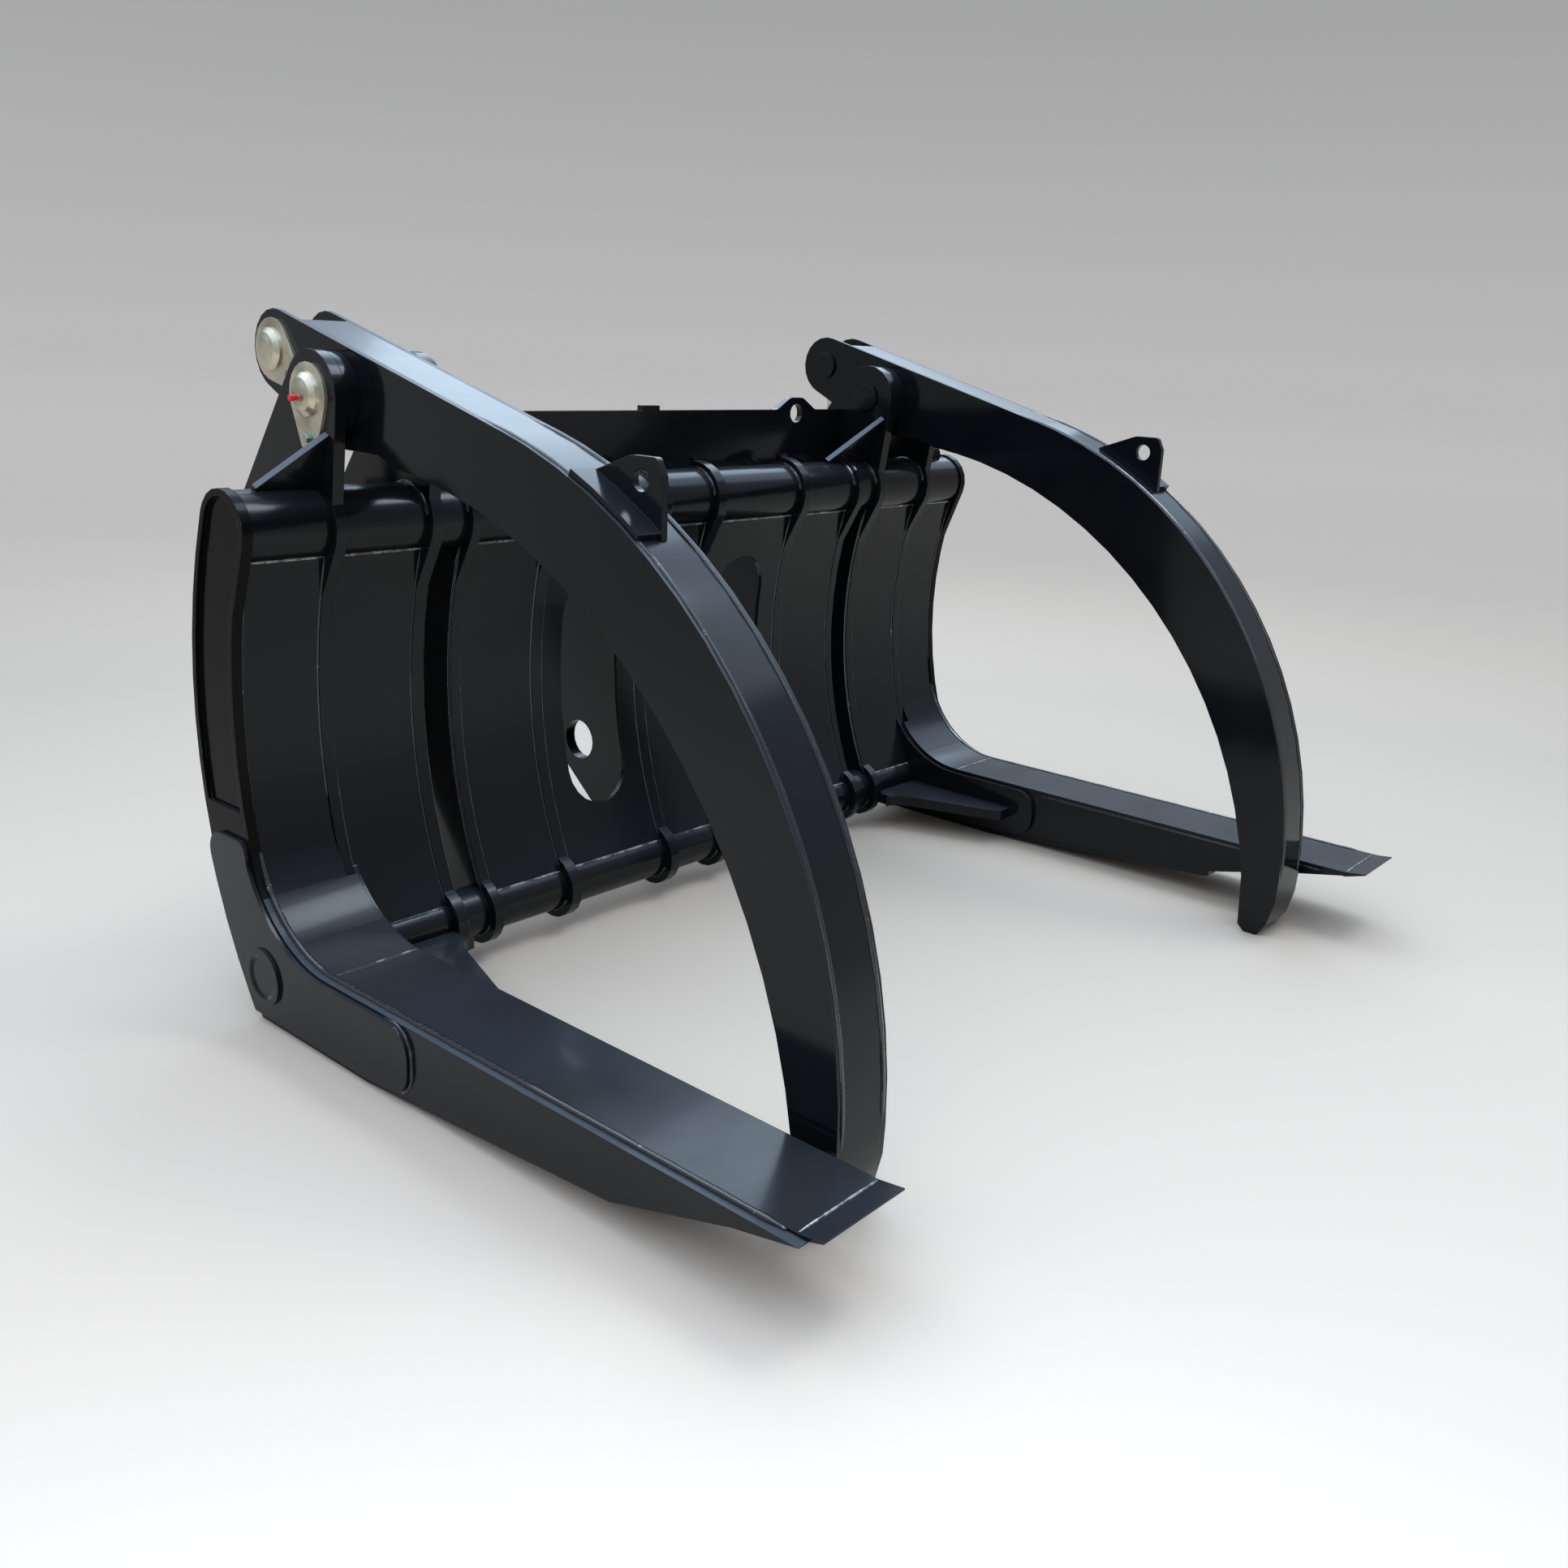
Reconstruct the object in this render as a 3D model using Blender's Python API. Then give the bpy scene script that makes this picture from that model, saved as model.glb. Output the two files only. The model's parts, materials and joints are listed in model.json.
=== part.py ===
"""Log grapple for a wheel loader: a rib-and-skin back frame on two cross
tubes, two fork tines, and two curved box arms that close over the load,
each moved by its own hydraulic cylinder.

Metres, +Z up, the tine tips point towards -Y and the loader is on the +Y
side. The frame stands on the ground plane z = 0. Left is -X.
"""

from math import acos, asin, atan2, ceil, cos, degrees, floor, hypot, pi, radians, sin

import bmesh
import bpy
from mathutils import Matrix, Vector
from mathutils.geometry import delaunay_2d_cdt

# Clearances
GAP = 0.0003
PIN_PLAY = 0.0005
SIDE_PLAY = 0.001

# Arc quality, degrees between points
BIG_STEP = 4.5
SMALL_STEP = 18.0
TUBE_STEP = 12.0
ROOT_STEP = 6.0

# Cross tubes, centres as (y, z)
TOP_C = (0.620, 1.029)
TOP_R = 0.076
TOP_WALL = 0.010
BOT_C = (0.554, 0.110)
BOT_R = 0.060
BOT_WALL = 0.012

# Skin: an arc from a low to a high place, bent to a radius
SKIN_LOW = (0.4936, 0.110)
SKIN_HIGH = (0.5525, 1.029)
SKIN_R = 1.081
SKIN_T = 0.012
RIB_PROUD = 0.004

# Rear edge of the uprights
REAR_LOW = (0.5924, 0.0)
REAR_HIGH = (0.7076, 1.029)
REAR_R = 1.120

# Tine root fillet, blends the skin into the tine's top face
ROOT_R = 0.270
ROOT_SEAM_TOP_Y = 0.460
EDGE_STEP = 0.005

# Rings around the tubes
RING_R = 0.094
COLLAR_R = 0.082
NUB = 0.016
RIB_BLEND = 0.150

# Places across the width, distance from the middle to each face
END_IN = 1.197
END_T = 0.022
EAR_IN = 0.999
EAR_T = 0.025
INNER_EAR_IN = 0.765
INNER_EAR_T = 0.029
SLOT_RIB_IN = 0.665
SLOT_RIB_T = 0.025
COUPLER_OUT_IN = 0.425
COUPLER_IN_IN = 0.085
COUPLER_T = 0.030

# Windows in the skin
WINDOW_X = 0.267
WINDOW_HALF = 0.093
WINDOW_LOW = 0.285
WINDOW_HIGH = 0.865

# Upper back plate
BACK_T = 0.020
BACK_LOW = TOP_C[1] - 0.029
BACK_TOP = 1.245
HUMP_X = 0.570
HUMP_BASE = 0.165
HUMP_TOP = 1.278
EYE_Z = 1.235
EYE_R = 0.026
NUB_BASE = 0.060
NUB_RISE = 0.012

# End plate pocket
CAP_EDGE_R = 0.081
CAP_BLEND = 0.170
RIM_W = 0.014
POCKET_DEPTH = 0.009
POCKET_LOW = 0.450

# Arm pivot and ears
PIVOT = (0.598, 1.285)
PIN_R = 0.025
EAR_R = 0.088
EAR_REAR = (0.893, 1.055)
EAR_REAR_FILLET = 0.045
EAR_FOOT_ANGLE = 150.0
SLOT_RING_END = 142.0
COUPLER_RING_END = 78.0

# Ear gussets
GUSSET_T = 0.015
GUSSET_TILT = 28.6
GUSSET_TOE = 0.008
GUSSET_AHEAD = 0.016
GUSSET_OUT_X = 1.155
GUSSET_OUT_H = 0.125
GUSSET_IN_X = 0.600
GUSSET_IN_H = 0.144

# Tine
TINE_TOP = 0.175
TINE_TOP_T = 0.012
TINE_BOTTOM_T = 0.012
TINE_IN_T = 0.015
HEEL_FLAT_FRONT = 0.200
HEEL_REAR_Y = 0.600
FOOT_Y = 0.547
BEND_Y = -0.500
BEND_Z = 0.070
NOSE_LOW_Y = -0.770
NOSE_LOW_Z = 0.140
NOSE_Y = -0.905
BOTTOM_END_Y = -0.515
LIP_Y = -0.883
TIP_Y = -0.933
TIP_RISE = 0.007
TIP_T = 0.003

# Heel doublers, with a dished boss over the end of the bottom tube
BOSS_R = 0.063
BOSS_H = 0.006
BOSS_RIM = 0.014
DOUBLER_T = 0.010
DOUBLER_IN_T = 0.012
DOUBLER_SEAM = 0.280
DOUBLER_TOP = 0.392
DOUBLER_FRONT = 0.050
DOUBLER_END_R = 0.055
DOUBLER_MARGIN = 0.010

# Root gussets between the bottom tube and the tines
SHELF_TOP = 0.105
SHELF_T = 0.030
SHELF_NOSE_Y = 0.125
SHELF_NOSE_X = 0.930
SHELF_WAIST_X = 0.820
SHELF_WAIST_Y = 0.440

# Coupler plates at the loader side
HOOK = (0.868, 0.915)
HOOK_R = 0.065
HOOK_PIN_R = 0.025
HOOK_PIN_OVER = 0.010
LOCK = (0.840, 0.365)
LOCK_HOLE_R = 0.054
LOCK_R = 0.093

# Cylinder base
BASE_PIN = (0.862, 0.500)
BASE_LOBE_R = 0.071
BASE_PIN_OVER = 0.012
SPACER_R = 0.036

# Arm
ARM_X = 0.9015
ARM_W = 0.133
ARM_SIDE_T = 0.012
ARM_STRIP_T = 0.012
ARM_OUT_REAR = (0.0656, 1.2490)
ARM_OUT_FRONT = (-0.7715, 0.1000)
ARM_OUT_R = 1.129
ARM_IN_REAR = (0.4000, 1.1574)
ARM_IN_FRONT = (-0.6734, 0.1472)
ARM_IN_R = 1.217
TAIL_PIN = (0.815, 1.365)
TAIL_R = 0.081
TAIL_UNDER = (0.773, 1.255)
UNDER_HUB_FRONT = (0.460, 1.178)
UNDER_HUB_REAR = (0.585, 1.180)
TOE_HEEL = (-0.757, 0.036)
TOE_FRONT = (-0.735, 0.001)
TOE_REAR = (-0.700, 0.001)
TOE_BACK = (-0.682, 0.017)
TOP_STRIP_END_Y = 0.730
LOW_STRIP_END_Y = 0.690
HUB_R = 0.087
HUB_NECK_R = 0.055

# Arm lug
LUG_T = 0.014
LUG_BASE_T = 0.012
LUG_HOLE_Y = -0.225
LUG_HOLE_RISE = 0.065
LUG_HOLE_R = 0.020
LUG_RISE = 0.105
LUG_FRONT_Y = -0.277
LUG_REAR_Y = -0.095
LUG_CREST_FRONT = -0.262
LUG_CREST_REAR = -0.200

# Pin keepers
KEEPER_T = 0.008
KEEPER_R = 0.063
KEEPER_TAB = 0.115
KEEPER_TAB_R = 0.032
PIN_HEAD_R = 0.045
PIN_HEAD_H = 0.020
PIN_TAIL_R = 0.037
PIN_TAIL_T = 0.008
TAIL_KEEPER_ANGLE = -145.0

# Cylinder, along its own axis from the base pin
CYL_RANGE = 50.0
BARREL_R = 0.050
BARREL_WALL = 0.008
BARREL_LOW = 0.040
BARREL_FLOOR = 0.080
GLAND_R = 0.056
GLAND_LOW = 0.535
GLAND_TOP = 0.585
BASE_EYE_R = 0.054
BASE_EYE_W = 0.090
ROD_R = 0.020
ROD_EYE_R = 0.060
ROD_EYE_BORE = 0.039
ROD_EYE_W = 0.070
PISTON_LOW = 0.440
PISTON_T = 0.050
PORT_R = 0.013
PORT_H = 0.016
PORT_LOW_Z = 0.110
PORT_HIGH_Z = 0.555

SIDES = {"left": -1.0, "right": 1.0}


# Outlines

def polar(centre, radius, angle):
    return (centre[0] + radius * cos(radians(angle)), centre[1] + radius * sin(radians(angle)))


def angle_of(centre, point):
    return degrees(atan2(point[1] - centre[1], point[0] - centre[0]))


def arc(centre, radius, start, end, step=SMALL_STEP):
    """Points on an arc; the ones between the ends lie on whole steps, so
    that neighbouring concentric arcs keep their gap."""
    angles = [start]
    if end > start:
        turn = floor(start / step + 1e-6) + 1
        while turn * step < end - 0.3:
            if turn * step > start + 0.3:
                angles.append(turn * step)
            turn += 1
    else:
        turn = ceil(start / step - 1e-6) - 1
        while turn * step > end + 0.3:
            if turn * step < start - 0.3:
                angles.append(turn * step)
            turn -= 1
    angles.append(end)
    return [polar(centre, radius, a) for a in angles]


def circle(centre, radius, step=SMALL_STEP):
    count = round(360.0 / step)
    return [polar(centre, radius, i * step) for i in range(count)]


def around(radius, step):
    """Radius of a hollow that clears a round edge drawn in straight steps."""
    return (radius + GAP) / cos(radians(step / 2.0))


def within(radius, step):
    """Radius of a round edge that clears a hollow drawn in straight steps."""
    return radius * cos(radians(step / 2.0)) - GAP


def meet(c1, r1, c2, r2, side):
    """Where two circles meet; side picks one of the two points."""
    gap = hypot(c2[0] - c1[0], c2[1] - c1[1])
    along = (r1 * r1 - r2 * r2 + gap * gap) / (2.0 * gap)
    off = max(r1 * r1 - along * along, 0.0) ** 0.5
    uy = (c2[0] - c1[0]) / gap
    uz = (c2[1] - c1[1]) / gap
    return (c1[0] + along * uy - side * off * uz, c1[1] + along * uz + side * off * uy)


def tangent(c1, r1, c2, r2, side):
    """Angle at which one straight line touches both circles on one side."""
    gap = hypot(c2[0] - c1[0], c2[1] - c1[1])
    return angle_of(c1, c2) + side * degrees(acos((r1 - r2) / gap))


def touch(point, centre, radius, side):
    """Angle at which a line from a point touches a circle."""
    gap = hypot(point[0] - centre[0], point[1] - centre[1])
    return angle_of(centre, point) + side * degrees(acos(radius / gap))


def centre_of(start, end, radius):
    """Centre of the arc between two places, to the left of the way."""
    across = Vector(end) - Vector(start)
    normal = Vector((-across.y, across.x)).normalized()
    off = (radius ** 2 - across.length_squared / 4.0) ** 0.5
    return tuple((Vector(start) + Vector(end)) / 2.0 + off * normal)


def on_circle_z(centre, radius, z):
    """Angle of the point at height z on the rear half of a circle."""
    return degrees(atan2(z - centre[1], (radius ** 2 - (z - centre[1]) ** 2) ** 0.5))


def on_circle_y(centre, radius, y):
    """Angle of the point at place y on the lower half of a circle."""
    return -degrees(acos((y - centre[0]) / radius))


def corner(before, here, after, radius, step=SMALL_STEP):
    """Points that round the corner between two straight edges."""
    here = Vector(here)
    to_before = (Vector(before) - here).normalized()
    to_after = (Vector(after) - here).normalized()
    half = to_before.angle(to_after) / 2.0
    reach = radius / sin(half)
    centre = here + (to_before + to_after).normalized() * reach
    start = angle_of(centre, here + to_before * reach * cos(half))
    end = angle_of(centre, here + to_after * reach * cos(half))
    sweep = (end - start + 180.0) % 360.0 - 180.0
    pieces = max(2, ceil(abs(sweep) / step))
    return [polar(centre, radius, start + sweep * k / pieces) for k in range(pieces + 1)]


def rounded(corners, step=SMALL_STEP):
    """A closed outline from corners (a, b, radius), each one rounded."""
    points = []
    count = len(corners)
    for i, (a, b, radius) in enumerate(corners):
        if radius <= 0.0:
            points.append((a, b))
            continue
        points += corner(corners[i - 1][:2], (a, b), corners[(i + 1) % count][:2], radius, step)
    return points


def shifted(path, distance):
    """A path moved sideways, to the left of its direction."""
    moved = []
    for i, point in enumerate(path):
        before = Vector(path[max(i - 1, 0)])
        after = Vector(path[min(i + 1, len(path) - 1)])
        here = Vector(point)
        first = (here - before).normalized() if i > 0 else (after - here).normalized()
        last = (after - here).normalized() if i < len(path) - 1 else first
        n1 = Vector((-first.y, first.x))
        n2 = Vector((-last.y, last.x))
        normal = (n1 + n2).normalized()
        here = here + normal * distance / max(normal.dot(n1), 0.4)
        moved.append((here.x, here.y))
    return moved


def strip(path, near, far):
    """Closed outline of a band between two distances from a path."""
    return shifted(path, near) + shifted(path, far)[::-1]


# Solids

def covered(point, loops):
    """Whether a point lies on the material between an outline and its holes."""
    inside = False
    for loop in loops:
        for i, (a, b) in enumerate(loop):
            c, d = loop[(i + 1) % len(loop)]
            if (b > point.y) != (d > point.y) and point.x < a + (point.y - b) * (c - a) / (d - b):
                inside = not inside
    return inside


def triangles_of(loops):
    """Triangles that fill an outline around its holes."""
    points = []
    edges = []
    for loop in loops:
        first = len(points)
        points += [Vector(p) for p in loop]
        edges += [(first + i, first + (i + 1) % len(loop)) for i in range(len(loop))]
    spots, _, faces, sources, _, _ = delaunay_2d_cdt(points, edges, [], 0, 1e-7)
    kept = []
    for face in faces:
        middle = sum((spots[i] for i in face), Vector((0.0, 0.0))) / len(face)
        if covered(middle, loops):
            kept.append([sources[i][0] for i in face])
    return kept


def add_prism(bm, outline, low, high, axis="X", holes=()):
    """Extrude an outline with holes along an axis between two places."""
    loops = [list(outline)] + [list(hole) for hole in holes]

    def spot(point, level):
        if axis == "X":
            return (level, point[0], point[1])
        if axis == "Y":
            return (point[0], level, point[1])
        return (point[0], point[1], level)

    triangles = triangles_of(loops)
    ends = []
    for level in (low, high):
        ends.append([bm.verts.new(spot(p, level)) for loop in loops for p in loop])
    made = []
    for verts in ends:
        for triangle in triangles:
            made.append(bm.faces.new([verts[i] for i in triangle]))
    first = 0
    for loop in loops:
        count = len(loop)
        for i in range(count):
            a = first + i
            b = first + (i + 1) % count
            made.append(bm.faces.new((ends[0][a], ends[0][b], ends[1][b], ends[1][a])))
        first += count
    bmesh.ops.recalc_face_normals(bm, faces=made)


def add_turned(bm, profile, origin, axis="X", step=SMALL_STEP):
    """Revolve a closed profile of (along, radius) around an axis; points
    with radius 0 lie on the axis."""
    count = round(360.0 / step)

    def spot(along, radius, angle):
        c = radius * cos(angle)
        s = radius * sin(angle)
        if axis == "X":
            return (origin[0] + along, origin[1] + c, origin[2] + s)
        return (origin[0] + c, origin[1] + s, origin[2] + along)

    rings = []
    for along, radius in profile:
        if radius == 0.0:
            rings.append([bm.verts.new(spot(along, 0.0, 0.0))] * count)
        else:
            turn = [2.0 * pi * k / count for k in range(count)]
            rings.append([bm.verts.new(spot(along, radius, a)) for a in turn])
    made = []
    for i in range(len(rings)):
        one = rings[i]
        two = rings[(i + 1) % len(rings)]
        if one[0] is one[1] and two[0] is two[1]:
            continue
        for k in range(count):
            m = (k + 1) % count
            corner = []
            for vert in (one[k], one[m], two[m], two[k]):
                if vert not in corner:
                    corner.append(vert)
            made.append(bm.faces.new(corner))
    bmesh.ops.recalc_face_normals(bm, faces=made)


def span(side, near, far):
    """Places along X of a piece between two distances from the middle."""
    return (side * near, side * far) if side > 0 else (side * far, side * near)


def mirrored(profile, side):
    """A turned profile for one side, measured outwards from the middle."""
    return [(side * along, radius) for along, radius in profile]


# Objects

FINISHES = {
    "black_paint": ((0.018, 0.021, 0.026, 1.0), 0.0, 0.28),
    "zinc": ((0.62, 0.60, 0.52, 1.0), 1.0, 0.38),
    "chrome": ((0.78, 0.79, 0.80, 1.0), 1.0, 0.10),
    "steel": ((0.30, 0.30, 0.31, 1.0), 1.0, 0.45),
}


def finish(obj, kind):
    colour, metallic, roughness = FINISHES[kind]
    material = bpy.data.materials.new(obj.name + "_" + kind)
    material.use_nodes = True
    shader = material.node_tree.nodes["Principled BSDF"]
    shader.inputs["Base Color"].default_value = colour
    shader.inputs["Metallic"].default_value = metallic
    shader.inputs["Roughness"].default_value = roughness
    material.diffuse_color = colour
    obj.data.materials.append(material)


def new_object(name, bm, kind="black_paint", parent=None):
    """Make a named object; with a parent its mesh is set around the
    parent's place, so that it turns about the joint."""
    mesh = bpy.data.meshes.new(name)
    bm.to_mesh(mesh)
    bm.free()
    mesh.polygons.foreach_set("use_smooth", [True] * len(mesh.polygons))
    mesh.set_sharp_from_angle(angle=radians(30.0))
    obj = bpy.data.objects.new(name, mesh)
    bpy.context.scene.collection.objects.link(obj)
    if parent is not None:
        obj.parent = parent
    if kind is not None:
        finish(obj, kind)
    return obj


def new_axis(name, place, lean=0.0):
    empty = bpy.data.objects.new(name, None)
    empty.location = place
    empty.rotation_euler = (lean, 0.0, 0.0)
    bpy.context.scene.collection.objects.link(empty)
    return empty


def as_tool(obj):
    obj.hide_render = True
    obj.display_type = "WIRE"
    return obj


def combine(obj, tool, operation="DIFFERENCE"):
    change = obj.modifiers.new(operation.lower() + "_" + tool.name, "BOOLEAN")
    change.operation = operation
    change.solver = "EXACT"
    change.object = tool


def plate(name, outline, low, high, axis="X", holes=()):
    """A plate from an outline, between two places along an axis."""
    bm = bmesh.new()
    add_prism(bm, outline, low, high, axis, holes)
    return new_object(name, bm)


# Shapes that several plates share

SKIN_C = centre_of(SKIN_LOW, SKIN_HIGH, SKIN_R)
REAR_C = centre_of(REAR_LOW, REAR_HIGH, REAR_R)
RIB_FRONT_R = SKIN_R - RIB_PROUD
ROOT_Z = TINE_TOP + ROOT_R
ROOT_C = (SKIN_C[0] + ((SKIN_R - ROOT_R) ** 2 - (ROOT_Z - SKIN_C[1]) ** 2) ** 0.5, ROOT_Z)
ROOT_START = angle_of(SKIN_C, ROOT_C)
TUBE_FRONT = angle_of(SKIN_C, TOP_C)
TUBE_FOOT = angle_of(SKIN_C, BOT_C)


def wrap(angle, start):
    """The same direction as an angle at or above a start angle."""
    return start + (angle - start) % 360.0


def rib_front():
    """Front edge of a rib, from the ring down to the collar; it leaves the
    ring on a tangent and joins the curve of the skins below the tube."""
    high = on_circle_z(SKIN_C, RIB_FRONT_R, TOP_C[1] - RIB_BLEND)
    leave = touch(polar(SKIN_C, RIB_FRONT_R, high), TOP_C, RING_R, -1.0)
    low = meet(BOT_C, COLLAR_R, SKIN_C, RIB_FRONT_R, -1.0)
    return [polar(TOP_C, RING_R, leave)] + arc(SKIN_C, RIB_FRONT_R, high, angle_of(SKIN_C, low), BIG_STEP)


def collar(edge, end):
    """The collar around the bottom tube, from the front edge down and back."""
    start = wrap(angle_of(BOT_C, edge[-1]), 90.0)
    return arc(BOT_C, COLLAR_R, start, end)[1:]


def ring(edge, end):
    """The ring around the top tube, from an end angle to the front edge."""
    return arc(TOP_C, RING_R, end, wrap(angle_of(TOP_C, edge[0]), end))[:-1]


FLOOR_Z = TINE_BOTTOM_T + GAP
PLATE_TOP = TINE_TOP - EDGE_STEP
FOOT_ANGLE = 360.0 + on_circle_y(BOT_C, COLLAR_R, FOOT_Y)


def ear_top():
    """Outline from the cylinder's base pin up around the ear to the ring."""
    into = touch(EAR_REAR, BASE_PIN, BASE_LOBE_R, -1.0)
    rear = touch(EAR_REAR, PIVOT, EAR_R, 1.0)
    foot = polar(TOP_C, RING_R, EAR_FOOT_ANGLE)
    front = wrap(touch(foot, PIVOT, EAR_R, -1.0), rear)
    below = polar(BASE_PIN, BASE_LOBE_R, into)
    above = polar(PIVOT, EAR_R, rear)
    points = corner(below, EAR_REAR, above, EAR_REAR_FILLET)
    return into, points + arc(PIVOT, EAR_R, rear, front)


def outer_ear_outline():
    edge = rib_front()
    into, top = ear_top()
    heel = (HEEL_REAR_Y, FLOOR_Z)
    lobe = touch(heel, BASE_PIN, BASE_LOBE_R, 1.0)
    lobe = lobe - 360.0 if lobe > into else lobe
    points = edge + collar(edge, FOOT_ANGLE)
    points += [(FOOT_Y, FLOOR_Z), heel]
    points += arc(BASE_PIN, BASE_LOBE_R, lobe, into)
    return points + top + ring(edge, EAR_FOOT_ANGLE)


def inner_ear_outline():
    edge = rib_front()
    into, top = ear_top()
    lobe = tangent(BOT_C, COLLAR_R, BASE_PIN, BASE_LOBE_R, -1.0)
    points = edge + collar(edge, 360.0 + lobe)
    points += arc(BASE_PIN, BASE_LOBE_R, lobe, into)
    return points + top + ring(edge, EAR_FOOT_ANGLE)


def tube_seat(end):
    """Edge that follows the underside of the top tube, from the upper back
    plate around the front to the end of the ring."""
    start = degrees(asin((BACK_LOW - GAP - TOP_C[1]) / (TOP_R + GAP)))
    return arc(TOP_C, TOP_R + GAP, start, end - 360.0, TUBE_STEP)


def slot_rib_outline():
    edge = rib_front()
    low = on_circle_z(REAR_C, REAR_R, BOT_C[1] + COLLAR_R / 2.0)
    high = on_circle_z(REAR_C, REAR_R, BACK_LOW - GAP)
    points = edge + collar(edge, 330.0)
    points += arc(REAR_C, REAR_R, low, high, BIG_STEP)
    return points + tube_seat(SLOT_RING_END) + ring(edge, SLOT_RING_END)


def coupler_outline():
    edge = rib_front()
    low = tangent(BOT_C, COLLAR_R, LOCK, LOCK_R, -1.0)
    back = tangent(LOCK, LOCK_R, HOOK, HOOK_R, -1.0)
    shoulder = (TOP_C[0] + TOP_R + GAP + BACK_T, BACK_LOW - GAP)
    hook_end = touch(shoulder, HOOK, HOOK_R, -1.0)
    points = edge + collar(edge, 360.0 + low)
    points += arc(LOCK, LOCK_R, low, wrap(back, low))
    points += arc(HOOK, HOOK_R, back, wrap(hook_end, back))
    points.append(shoulder)
    points += tube_seat(COUPLER_RING_END)
    spread = degrees(NUB / RING_R)
    points.append(polar(TOP_C, RING_R + NUB / 2.0, COUPLER_RING_END))
    points.append(polar(TOP_C, RING_R + NUB / 2.0, COUPLER_RING_END + spread))
    return points + ring(edge, COUPLER_RING_END + spread)


def upright_outline(margin, low_z):
    """End plate outline; the margin draws it inwards for the pocket."""
    front = RIB_FRONT_R + margin
    rear = REAR_R - margin
    cap = CAP_EDGE_R - margin
    back = meet(TOP_C, cap, REAR_C, rear, 1.0)
    top_angle = on_circle_z(SKIN_C, front, TOP_C[1] - CAP_BLEND)
    top = polar(SKIN_C, front, top_angle)
    low_rear = on_circle_z(REAR_C, rear, low_z)
    points = arc(REAR_C, rear, low_rear, angle_of(REAR_C, back), BIG_STEP)
    start = angle_of(TOP_C, back)
    points += arc(TOP_C, cap, start, wrap(touch(top, TOP_C, cap, -1.0), start))[1:]
    if margin > 0.0:
        return points + arc(SKIN_C, front, top_angle, on_circle_z(SKIN_C, front, low_z), BIG_STEP)
    fillet = ROOT_R + EDGE_STEP
    turn = meet(ROOT_C, fillet, SKIN_C, front, 1.0)
    points += arc(SKIN_C, front, top_angle, angle_of(SKIN_C, turn), BIG_STEP)
    foot = on_circle_z(ROOT_C, fillet, low_z)
    return points + arc(ROOT_C, fillet, angle_of(ROOT_C, turn), foot, ROOT_STEP)[1:]


def tine_foot():
    """Lower edge of the tine's side plates, from the flat heel forwards."""
    return [(HEEL_FLAT_FRONT, FLOOR_Z), (BEND_Y, BEND_Z), (NOSE_LOW_Y, NOSE_LOW_Z)]


def nose_at(z):
    """Where the lower edge of the nose reaches a height."""
    share = (z - NOSE_LOW_Z) / (PLATE_TOP - NOSE_LOW_Z)
    return (NOSE_LOW_Y + share * (NOSE_Y - NOSE_LOW_Y), z)


def tine_outer_outline():
    """The outer side plate; its lower edge covers the bottom plate."""
    fillet = ROOT_R + EDGE_STEP
    seam = DOUBLER_SEAM - GAP
    points = arc(ROOT_C, fillet, on_circle_z(ROOT_C, fillet, seam), -90.0, ROOT_STEP)
    points += [nose_at(PLATE_TOP), (NOSE_LOW_Y, NOSE_LOW_Z)]
    points += [(BEND_Y, BEND_Z - FLOOR_Z), (HEEL_FLAT_FRONT, 0.0)]
    low = on_circle_z(REAR_C, REAR_R, 0.0)
    return points + arc(REAR_C, REAR_R, low, on_circle_z(REAR_C, REAR_R, seam), BIG_STEP)


def tine_inner_outline():
    under = around(ROOT_R + TINE_TOP_T, ROOT_STEP)
    rib = within(RIB_FRONT_R, BIG_STEP)
    tube = around(COLLAR_R, SMALL_STEP)
    turn = meet(ROOT_C, under, SKIN_C, rib, 1.0)
    low = meet(BOT_C, tube, SKIN_C, rib, -1.0)
    points = arc(ROOT_C, under, -90.0, angle_of(ROOT_C, turn), ROOT_STEP)
    points += arc(SKIN_C, rib, angle_of(SKIN_C, turn), angle_of(SKIN_C, low), BIG_STEP)[1:]
    points += arc(BOT_C, tube, wrap(angle_of(BOT_C, low), 90.0), FOOT_ANGLE)[1:-1]
    points += [(FOOT_Y - GAP, BOT_C[1] - tube), (FOOT_Y - GAP, FLOOR_Z)]
    return points + tine_foot() + [nose_at(TINE_TOP - TINE_TOP_T - GAP)]


def doubler_front():
    """Rounded front end and lower edge that both heel doublers share."""
    slope = (BEND_Z - FLOOR_Z) / (BEND_Y - HEEL_FLAT_FRONT)
    low_z = FLOOR_Z + slope * (DOUBLER_FRONT - HEEL_FLAT_FRONT) + DOUBLER_MARGIN / 2.0
    top = TINE_TOP - DOUBLER_MARGIN
    return [
        (DOUBLER_FRONT, top, DOUBLER_END_R),
        (DOUBLER_FRONT, low_z, DOUBLER_END_R),
        (HEEL_FLAT_FRONT, FLOOR_Z + DOUBLER_MARGIN / 2.0, 0.0),
    ]


def doubler_top_edge(top_z):
    """Concave edge along the tine's root."""
    radius = ROOT_R + DOUBLER_MARGIN
    path = arc(ROOT_C, radius, on_circle_z(ROOT_C, radius, top_z), -90.0, ROOT_STEP)
    return [(y, z, 0.0) for y, z in path]


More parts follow.
